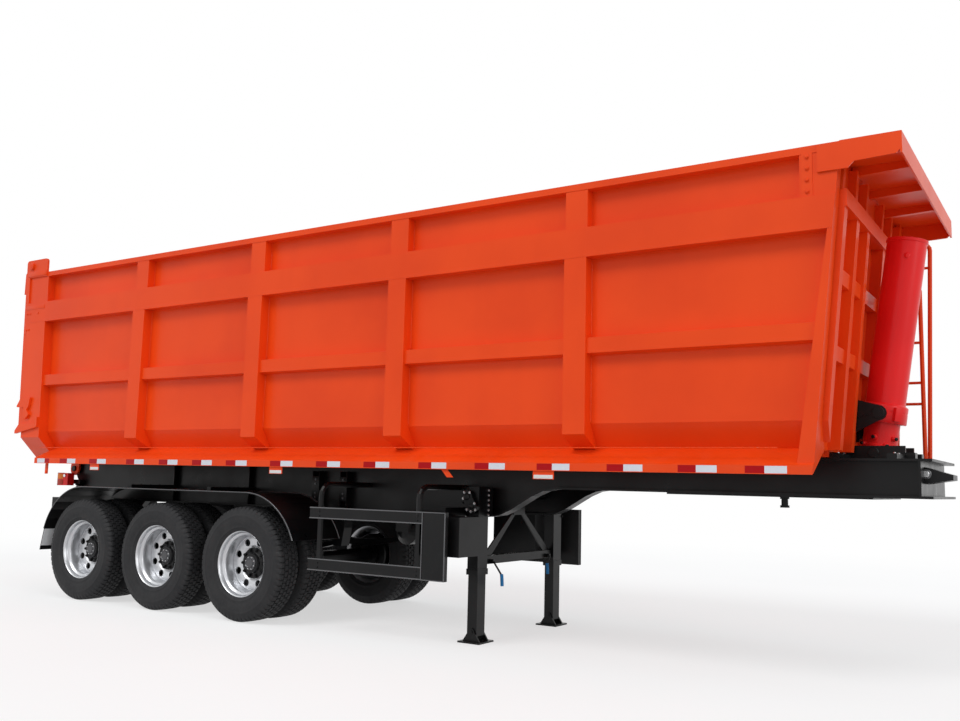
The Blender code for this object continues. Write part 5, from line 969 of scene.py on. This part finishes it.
def build_guard_edges():
    """Pressed lips along the side guard's rails and plate, in a lighter black that paints their highlight,
    and bolts at the hangers.
    """
    bottom, top = GUARD_PLATE_HEIGHTS
    for side, sign in SIDES:
        lips = Shape()
        for z in GUARD_RAIL_EDGES:
            lips.side_box(sign, GUARD_RAILS, GUARD_RAIL_REACH, (z - RAIL_LIP_HALF, z + RAIL_LIP_HALF),
                          bevel=SHEET_EASE)
        for station in GUARD_PLATE:
            lips.side_box(sign, (station - PLATE_LIP_HALF, station + PLATE_LIP_HALF), GUARD_PLATE_REACH,
                          GUARD_PLATE_HEIGHTS, bevel=SHEET_EASE)
        for z in (bottom + PLATE_LIP_HALF, top - PLATE_LIP_HALF):
            lips.side_box(sign, GUARD_PLATE, GUARD_PLATE_REACH, (z - PLATE_LIP_HALF, z + PLATE_LIP_HALF),
                          bevel=SHEET_EASE)
        add_piece(f"guard_lips_{side}", lips.mesh("lips"), HIGHLIGHT_BLACK, "frame")
        rows = [((at(station), sign * GUARD_BOLT_Y, z), FACE_OUT[sign])
                for station in GUARD_BOLT_STATIONS for z in GUARD_BOLT_HEIGHTS]
        bolts(f"guard_bolts_{side}", rows, HUB_BLACK, "frame",
              radius=0.008, height=0.008)


LEG_BOLT_STATION = 4.715
LEG_BOLT_TOP = 1.262
LEG_BOLT_PITCH = 0.042
LEG_BOLTS = 6
LEG_FACE = 0.5945
GEARBOX_FACE = 0.7795
GEARBOX_BOLTS = ((4.585, 1.240), (4.640, 1.240), (4.575, 1.190), (4.690, 1.150), (4.615, 1.095),
                 (4.700, 1.095), (4.655, 1.082))
BRACKET_ROW = tuple((4.46 + 0.05 * number, LEG_FACE, 1.265) for number in range(3))
BRACKET_COLUMN = tuple((4.450, 0.600, height) for height in (1.08, 1.15, 1.21))
GEAR_COVERS = ((4.610, 1.205, 0.030), (4.660, 1.125, 0.022))
GEAR_COVER_Y = 0.779
LEG_PLUG_STATIONS = (4.715, 4.605)
LEG_PLUG_HEIGHT = 1.02
LEG_PLUG_REACH = (0.742, 0.750)
LEG_PLUG_RADIUS = 0.010
SHAFT_STATION = 4.650
SHAFT_HEIGHT = 1.185
SHAFT_HALF = 0.592
SHAFT_RADIUS = 0.012
COLLAR_Y = 0.560
COLLAR_HALF = 0.02
COLLAR_RADIUS = 0.018
CRANK_Y = 0.50
CRANK_ROUTES = {"right": ((4.720, 0.655), (4.763, 0.600), (4.804, 0.545)),
                "left": ((4.724, 0.651), (4.694, 0.600), (4.695, 0.575))}
CRANK_START = 0.02
CRANK_START_HEIGHT = 0.662
CRANK_BOSS = (4.675, 4.722)
CRANK_BOSS_HEIGHTS = (0.640, 0.676)
CRANK_BOSS_HALF = 0.012
CRANK_RADIUS = 0.0080
GRIP_ROUTE = ((-0.002, 0.012), (0.001, -0.01), (0.004, -0.05), (0.006, -0.088))
GRIP_RADIUS = 0.0145


def build_leg_details():
    """Bolts and covers on the legs' heads, the cross-shaft, and a crank with its grip on each leg."""
    for side, sign in SIDES:
        column = [(LEG_BOLT_STATION, LEG_FACE, LEG_BOLT_TOP - LEG_BOLT_PITCH * number)
                  for number in range(LEG_BOLTS)]
        column += [(station, GEARBOX_FACE, height) for station, height in GEARBOX_BOLTS]
        rows = [((at(station), sign * y, z), FACE_OUT[sign]) for station, y, z in column]
        bolts(f"leg_bolts_{side}", rows, STEEL, "frame",
              radius=0.0085, height=0.009)
        rows = [((at(station), sign * y, z), FACE_OUT[sign])
                for station, y, z in BRACKET_ROW + BRACKET_COLUMN]
        bolts(f"bracket_bolts_{side}", rows, HUB_BLACK, "frame",
              radius=0.010, height=0.010)
        gear = Shape()
        for station, height, radius in GEAR_COVERS:
            place = Matrix.Translation((at(station), sign * GEAR_COVER_Y, height))
            gear.turned([(radius, 0), (radius, 0.007), (radius - 0.006, 0.010)], 32,
                        place @ Matrix.Rotation(-sign * math.pi / 2, 4, "X"))
        for station in LEG_PLUG_STATIONS:
            gear.side_rod(sign, station, LEG_PLUG_HEIGHT, LEG_PLUG_REACH, LEG_PLUG_RADIUS,
                          sides=16, bevel=PLATE_EASE)
        add_piece(f"gearbox_covers_{side}", gear.mesh("gear"), HUB_BLACK, "frame")
    shaft = Shape()
    shaft.side_rod(1, SHAFT_STATION, SHAFT_HEIGHT, (-SHAFT_HALF, SHAFT_HALF), SHAFT_RADIUS,
                   sides=20, bevel=PLATE_EASE)
    for y in (-COLLAR_Y, COLLAR_Y):
        shaft.side_rod(1, SHAFT_STATION, SHAFT_HEIGHT, (y - COLLAR_HALF, y + COLLAR_HALF), COLLAR_RADIUS,
                       sides=20, bevel=ROUND_EASE)
    add_piece("leg_shaft", shaft.mesh("shaft"), BLACK, "frame")
    for side, sign in SIDES:
        y = sign * CRANK_Y
        route = CRANK_ROUTES[side]
        rod, grip = Shape(), Shape()
        rod.sweep([(at(route[0][0]) - CRANK_START, y, CRANK_START_HEIGHT)] +
                  [(at(station), y, z) for station, z in route], CRANK_RADIUS, 12)
        rod.box((at(CRANK_BOSS[0]), y - CRANK_BOSS_HALF, CRANK_BOSS_HEIGHTS[0]),
                (at(CRANK_BOSS[1]), y + CRANK_BOSS_HALF, CRANK_BOSS_HEIGHTS[1]), bevel=PLATE_EASE)
        add_piece(f"crank_{side}", rod.mesh("crank"), BLACK, "frame")
        station, z = route[-1]
        grip.sweep([(at(station) + ahead, y, z + rise) for ahead, rise in GRIP_ROUTE], GRIP_RADIUS, 16)
        add_piece(f"crank_grip_{side}", grip.mesh("grip"), GRIP_BLUE, "frame")


# Hoist
HOIST_STATION = 7.755
HOIST_PIVOT_HEIGHT = 1.610
HOIST_LEAN = math.radians(8.8)
HOIST_PIVOT = Vector((at(HOIST_STATION), 0, HOIST_PIVOT_HEIGHT))
HOIST = Matrix.Translation(HOIST_PIVOT) @ Matrix.Rotation(HOIST_LEAN, 4, "Y")
TRUNNION_RISE = 0.290
BARREL_FOOT = 0.030
TUBE_LENGTH = 1.50
TUBE_STEP = 0.012
TUBES = 4
TUBE_RADIUS = 0.122
TUBE_SHRINK = 0.0115
TUBE_FOOT = 0.060
COVER_ROOM = 0.020
COVER_SHEET = 0.012
HOIST_TOP = BARREL_FOOT + TUBE_LENGTH + TUBE_STEP * TUBES + COVER_ROOM + COVER_SHEET
PORTS = ((-100, 0.115), (-60, 0.060), (-135, 0.060), (-35, 0.120))
PORT_SEAT = 0.118
PORT_PLUG_SEAT = 0.1455
PIVOT_CAP_REACH = (0.1995, 0.2090)
PIVOT_CAP_RADIUS = 0.038
CLAMP_ANGLES = (-48, 132)
CLAMP_SPOT = (0.172, 0, 0.296)
CLAMP_HALF = Vector((0.018, 0.026, 0.052))
CLAMP_EASE = 0.004
BLEED_ANGLE = -75
BLEED_SEAT = 0.138
BLEED_BELOW = 0.14
CAP_SCREWS = 16
CAP_SCREW_CIRCLE = 0.126
CAP_SCREW_SUNK = 0.0002


def on_hoist(angle, radius, height):
    """A place on the hoist's side, turned so that +Z points out of it."""
    turn = HOIST @ Matrix.Rotation(math.radians(angle), 4, "Z") @ Matrix.Translation((radius, 0, height))
    return turn @ Matrix.Rotation(math.pi / 2, 4, "Y")


def build_hoist_cover():
    """The cover's smooth skin with its collar, and the plug, clamps, bleed and screws on it."""
    top = HOIST_TOP
    cap = [(0.030, top + 0.0245), (0.0343, top + 0.021), (0.0343, top + 0.0006), (0.143, top + 0.0006),
           (0.1474, top - 0.004), (0.1474, top - 0.021), (0.1440, top - 0.0240), (0.1403, top - 0.0260)]
    collar = [(0.1403, 0.372), (0.150, 0.361), (0.1590, 0.358), (0.1624, 0.350), (0.1624, 0.318),
              (0.1590, 0.315), (0.1590, 0.309), (0.1624, 0.306), (0.1624, 0.2330), (0.1600, 0.2298)]
    lining = [(0.1330, 0.2298), (0.1330, 0.2400), (0.1500, 0.2500), (0.1500, 0.3400), (0.1360, 0.3800),
              (0.1360, top - 0.030)]
    shell = Shape()
    shell.turned(cap + collar + lining, 96, HOIST)
    add_piece("hoist_cover_skin", shell.mesh("cover"), RED, "hoist_cover", angle=40)
    plug = Shape()
    plug.lathe([(plug.AXIS, top + 0.001), (0.046, top + 0.001), (0.046, top + 0.010), (0.040, top + 0.016),
                (0.0350, top + 0.0255), (0.020, top + 0.0290), (plug.AXIS, top + 0.0300)], 40, HOIST)
    add_piece("hoist_top_plug", plug.mesh("plug"), HUB_BLACK, "hoist_cover")
    clamp = Shape()
    for angle in CLAMP_ANGLES:
        turn = HOIST @ Matrix.Rotation(math.radians(angle), 4, "Z")
        centre = turn @ Vector(CLAMP_SPOT)
        clamp.box(centre - CLAMP_HALF, centre + CLAMP_HALF, turn.to_3x3().to_4x4(), bevel=CLAMP_EASE)
    add_piece("hoist_clamps", clamp.mesh("clamp"), RED, "hoist_cover")
    knob = Shape()
    knob.turned([(0.022, 0), (0.022, 0.006), (0.016, 0.010), (0.012, 0.016)], 24,
                on_hoist(BLEED_ANGLE, BLEED_SEAT, top - BLEED_BELOW))
    add_piece("hoist_bleed", knob.mesh("bleed"), RED, "hoist_cover")
    rows = [(tuple(HOIST @ Vector((x, y, top - CAP_SCREW_SUNK))), (0, HOIST_LEAN, 0))
            for _, x, y in ring(CAP_SCREWS, CAP_SCREW_CIRCLE)]
    bolts("hoist_cap_bolts", rows, RED, "hoist_cover",
          radius=0.006, height=0.007)


def build_hoist_barrel():
    """The barrel's smooth skin with its bosses and plugs, and the caps of its pivot pins."""
    barrel, plugs, ends = Shape(), Shape(), Shape()
    barrel.lathe([(0.1150, -0.0455), (0.1180, -0.0455), (0.1225, -0.040), (0.1225, 0.020), (0.1290, 0.024),
                  (0.1300, 0.030), (0.1300, 0.058), (0.1290, 0.064), (0.1225, 0.068), (0.1225, 0.500),
                  (0.1150, 0.500)], 96, HOIST)
    for angle, height in PORTS:
        barrel.turned([(0.020, 0), (0.020, 0.016), (0.017, 0.019), (0.017, 0.026), (0.014, 0.028)], 24,
                      on_hoist(angle, PORT_SEAT, height))
        plugs.turned([(0.013, 0), (0.013, 0.010), (0.010, 0.013)], 20,
                     on_hoist(angle, PORT_PLUG_SEAT, height))
    for _, sign in SIDES:
        ends.side_rod(sign, HOIST_STATION, HOIST_PIVOT_HEIGHT, PIVOT_CAP_REACH, PIVOT_CAP_RADIUS,
                      sides=32, bevel=ROUND_EASE)
    add_piece("hoist_barrel_skin", barrel.mesh("barrel"), RED, "hoist_base", angle=40)
    add_piece("hoist_port_plugs", plugs.mesh("plugs"), HUB_BLACK, "hoist_base")
    add_piece("hoist_pivot_caps", ends.mesh("ends"), BLACK, "frame")


def build_tube_skins():
    """Smooth plated skins over the nested tubes, each with a wiper ring at its mouth."""
    for number in range(1, TUBES + 1):
        radius = TUBE_RADIUS - TUBE_SHRINK * number
        mouth = BARREL_FOOT + TUBE_LENGTH + TUBE_STEP * number
        tube = Shape()
        tube.lathe([(radius - 0.004, TUBE_FOOT), (radius + 0.0002, TUBE_FOOT),
                    (radius + 0.0002, mouth - 0.014), (radius - 0.0006, mouth - 0.011),
                    (radius - 0.0006, mouth - 0.008), (radius + 0.0002, mouth - 0.005),
                    (radius + 0.0002, mouth + 0.0002), (radius - 0.004, mouth + 0.0002)], 96, HOIST)
        add_piece(f"tube_skin_{number}", tube.mesh("tube"), CHROME, f"hoist_stage_{number}",
                  angle=40)


WALL_FOOT = 7.548
WALL_SLOPE = 0.095
BRACKET_FACE = 0.226
FOOT_BOLTS = 6
FOOT_BOLT_AHEAD = 0.040
FOOT_BOLT_MARGIN = 0.030
RIB_SHEET = 0.011
RIB_SUNK = 0.001
RIB_OUTLINE = ((-0.135, 0.020), (-0.045, 0.006), (-0.045, -0.006), (-0.135, -0.030))
PIN_KEEPER_PARTS = ((0.2255, 0.2345, 0.044, 40, 0.002), (0.2340, 0.2375, 0.026, 32, 0.001))


def build_hoist_bracket_bolts():
    """Bolts down each bracket's foot, a rib on its cheek, and the pin's keeper."""
    lean = Vector((math.sin(HOIST_LEAN), 0, math.cos(HOIST_LEAN)))
    pivot = HOIST_PIVOT + lean * TRUNNION_RISE
    for side, sign in SIDES:
        low, high = (Vector(corner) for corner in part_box(f"hoist_bracket_{side}"))
        rows = []
        for number in range(FOOT_BOLTS):
            z = low.z + FOOT_BOLT_MARGIN + (high.z - low.z - 2 * FOOT_BOLT_MARGIN) * number / (FOOT_BOLTS - 1)
            x = at(WALL_FOOT) + WALL_SLOPE * (z - SHELF_TOP) + FOOT_BOLT_AHEAD
            rows.append(((x, sign * (BRACKET_FACE - LAP), z), FACE_OUT[sign]))
        bolts(f"bracket_bolts_hoist_{side}", rows, DARK_STEEL, "bed",
              radius=0.009, height=0.009)
        rib = Shape()
        rib.slab([(pivot.x + ahead, sign * (BRACKET_FACE - RIB_SUNK), pivot.z + rise)
                  for ahead, rise in RIB_OUTLINE], (0, sign * RIB_SHEET, 0))
        for near, far, radius, sides, bevel in PIN_KEEPER_PARTS:
            rib.rod((pivot.x, sign * near, pivot.z), (pivot.x, sign * far, pivot.z), radius, sides, bevel)
        add_piece(f"bracket_rib_{side}", rib.mesh("rib"), BLACK, "bed")


# Nose and beams
CRADLE_BOLT_REACH = (-0.46, -0.30, 0.30, 0.46)
CRADLE_BOLT_AHEAD = (-0.1875, 0.1875)
CRADLE_TOP = 1.5908
KINGPIN_STATION = 7.06
KINGPIN_RADIUS = 0.0257
KINGPIN_EASE = 0.0032
KINGPIN_HEIGHT = 0.060


def build_nose_details():
    """Bolts on the hoist's cradle, and the king pin's turned skin."""
    rows = [((at(HOIST_STATION) + ahead, y, CRADLE_TOP), (0, 0, y))
            for y in CRADLE_BOLT_REACH for ahead in CRADLE_BOLT_AHEAD]
    bolts("nose_bolts", rows, STEEL, "frame",
          radius=0.010, height=0.012)
    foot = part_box("kingpin_plate")[0][2]
    pin = Shape()
    pin.turned([(KINGPIN_RADIUS - KINGPIN_EASE, foot - 0.0002), (KINGPIN_RADIUS, foot + 0.003),
                (KINGPIN_RADIUS, foot + KINGPIN_HEIGHT / 2), (KINGPIN_RADIUS, foot + KINGPIN_HEIGHT)], 48,
               Matrix.Translation((at(KINGPIN_STATION), 0, 0)))
    add_piece("kingpin_skin", pin.mesh("pin"), BLACK, "frame")


WEB_FACE = 0.5075
RIB_STATIONS = (0.63, 1.78)
RIB_REACH = 0.562
RIB_HALF = 0.006
RIB_HEIGHTS = (1.052, 1.538)
BRACKET_STATIONS = (2.72, 3.07)
BRACKET_REACH = 0.585
BRACKET_HALF = 0.045
BRACKET_SHEET = 0.008
BRACKET_HEIGHTS = (1.060, 1.400)
BRACKET_PLATE_REACH = (0.578, 0.586)
BRACKET_PLATE_HEIGHTS = (1.120, 1.350)
BRACKET_BOLT_HEIGHTS = (1.150, 1.190, 1.280, 1.320)
BRACKET_BOLT_Y = 0.5855


def build_beam_ribs():
    """Upright ribs on the beams' outer webs, and the bolted bracket pair behind the side guard."""
    half, inside = BRACKET_HALF, BRACKET_HALF - BRACKET_SHEET
    for side, sign in SIDES:
        ribs, bolted = Shape(), Shape()
        for station in RIB_STATIONS:
            ribs.side_box(sign, (station - RIB_HALF, station + RIB_HALF), (WEB_FACE, RIB_REACH), RIB_HEIGHTS,
                          bevel=SHEET_EASE)
        for station in BRACKET_STATIONS:
            for cheek in ((station - half, station - inside), (station + inside, station + half)):
                bolted.side_box(sign, cheek, (WEB_FACE, BRACKET_REACH), BRACKET_HEIGHTS, bevel=SHEET_EASE)
            bolted.side_box(sign, (station - half, station + half), BRACKET_PLATE_REACH,
                            BRACKET_PLATE_HEIGHTS, bevel=SHEET_EASE)
        rows = [((at(station), sign * BRACKET_BOLT_Y, z), FACE_OUT[sign])
                for station in BRACKET_STATIONS for z in BRACKET_BOLT_HEIGHTS]
        add_piece(f"beam_ribs_{side}", ribs.mesh("ribs"), BLACK, "frame")
        add_piece(f"beam_brackets_{side}", bolted.mesh("brackets"), BLACK, "frame")
        bolts(f"beam_bracket_bolts_{side}", rows, DARK_STEEL, "frame",
              radius=0.009, height=0.010)


COUPLING_STATION = 8.130
COUPLING_Y = -0.4195
COUPLING_HEIGHT = 1.455


def build_coupling():
    """The plug and its collar on the neck's coupling head; the collar is a lighter black that paints a
    highlight.
    """
    place = Matrix.Translation((at(COUPLING_STATION), COUPLING_Y, COUPLING_HEIGHT))
    turn = place @ Matrix.Rotation(math.pi / 2, 4, "X")
    collar, plug = Shape(), Shape()
    collar.turned([(0.036, 0), (0.036, 0.006), (0.032, 0.009)], 40, turn)
    plug.turned([(0.024, 0.005), (0.024, 0.016), (0.020, 0.020), (0.012, 0.020), (0.012, 0.015)], 32, turn)
    add_piece("coupling_ring", collar.mesh("ring"), HIGHLIGHT_BLACK, "frame")
    add_piece("coupling_plug", plug.mesh("plug"), STEEL, "frame")


build_wheels()
build_tape()
build_sill_tabs()
build_welds()
build_body_bolts()
build_straps()
build_lamps_look()
build_fender_edges()
build_guard_edges()
build_leg_details()
build_hoist_cover()
build_hoist_barrel()
build_tube_skins()
build_hoist_bracket_bolts()
build_nose_details()
build_beam_ribs()
build_coupling()


# Studio
def build_camera():
    """The photograph's viewpoint: yaw, pitch and roll in degrees, and the focal length in its pixels."""
    yaw, pitch, roll = (math.radians(angle) for angle in CAMERA_ANGLES)
    ahead = Vector((-math.sin(yaw) * math.cos(pitch), math.cos(yaw) * math.cos(pitch), math.sin(pitch)))
    level = Vector((math.cos(yaw), math.sin(yaw), 0))
    above = level.cross(ahead)
    right = math.cos(roll) * level + math.sin(roll) * above
    up = -math.sin(roll) * level + math.cos(roll) * above
    data = bpy.data.cameras.new("camera")
    data.sensor_width = SENSOR_WIDTH
    data.lens = FOCAL_PIXELS / FRAME_WIDTH * SENSOR_WIDTH
    data.clip_end = CAMERA_REACH
    camera = linked("camera", data)
    turn = Matrix((right, up, -ahead)).transposed().to_4x4()
    camera.matrix_world = Matrix.Translation((at(CAMERA_STATION), CAMERA_Y, CAMERA_HEIGHT)) @ turn
    bpy.context.scene.camera = camera


def background_ray(tree):
    """1 on rays from the camera and from gloss and clear surfaces, which see the plain background."""
    path = tree.nodes.new("ShaderNodeLightPath")
    seen = Val(tree, path.outputs["Is Camera Ray"])
    for ray in ("Is Glossy Ray", "Is Transmission Ray"):
        seen = seen.math("MAXIMUM", Val(tree, path.outputs[ray]))
    return seen


def mixed(tree, share, first, second, target):
    """Two shaders mixed by a share and led to the output."""
    mix = tree.nodes.new("ShaderNodeMixShader")
    plug(tree, mix.inputs[0], share)
    tree.links.new(first.outputs[0], mix.inputs[1])
    tree.links.new(second.outputs[0], mix.inputs[2])
    tree.links.new(mix.outputs[0], target.inputs["Surface"])


def build_world():
    """White where the camera or a gloss surface looks, soft grey-white light elsewhere."""
    world = bpy.data.worlds.new("studio")
    bpy.context.scene.world = world
    world.use_nodes = True
    tree = world.node_tree
    seen = tree.nodes.new("ShaderNodeBackground")
    seen.inputs["Color"].default_value = WHITE
    seen.inputs["Strength"].default_value = 1.0
    light = tree.nodes["Background"]
    light.inputs["Color"].default_value = FILL_COLOUR
    light.inputs["Strength"].default_value = FILL_STRENGTH
    mixed(tree, background_ray(tree), light, seen, tree.nodes["World Output"])


def build_floor():
    """A pale floor that takes the shadow and runs out to plain white at a distance."""
    grid = bmesh.new()
    bmesh.ops.create_grid(grid, x_segments=1, y_segments=1, size=FLOOR_HALF)
    made = bpy.data.meshes.new("floor")
    grid.to_mesh(made)
    grid.free()
    floor = linked("floor", made)
    paint = Finish("pale_floor", FLOOR_LIT, roughness=0.95)
    tree = paint.tree
    seen = background_ray(tree)
    cloud = paint.noise(scale=0.35, detail=2.0).over(0.3, 0.7)
    paint.colour(paint.mix(seen, FLOOR_LIT, paint.mix(cloud, FLOOR_SEEN_LOW, FLOOR_SEEN_HIGH)))
    glow = tree.nodes.new("ShaderNodeEmission")
    glow.inputs["Color"].default_value = WHITE
    glow.inputs["Strength"].default_value = 1.0
    reach = (paint.x * paint.x + paint.y * paint.y).math("SQRT")
    far = reach.over(FLOOR_FADE_START, FLOOR_FADE_END) * (1 - FLOOR_LIFT) + FLOOR_LIFT
    mixed(tree, far * seen, paint.shader, glow, tree.nodes["Material Output"])
    made.materials.append(paint.made)


def build_lamps():
    """A broad soft sun from above the camera's side, and a weaker one on the nose."""
    for name, direction, power, spread in (("key", KEY_DIRECTION, KEY_POWER, KEY_SPREAD),
                                           ("nose", NOSE_DIRECTION, NOSE_POWER, NOSE_SPREAD)):
        lamp = bpy.data.lights.new(name, "SUN")
        lamp.energy = power
        lamp.angle = math.radians(spread)
        holder = linked(name, lamp)
        holder.rotation_euler = Vector(direction).to_track_quat("-Z", "Y").to_euler()


bpy.context.scene.view_settings.view_transform = "Standard"
build_camera()
build_world()
build_floor()
build_lamps()
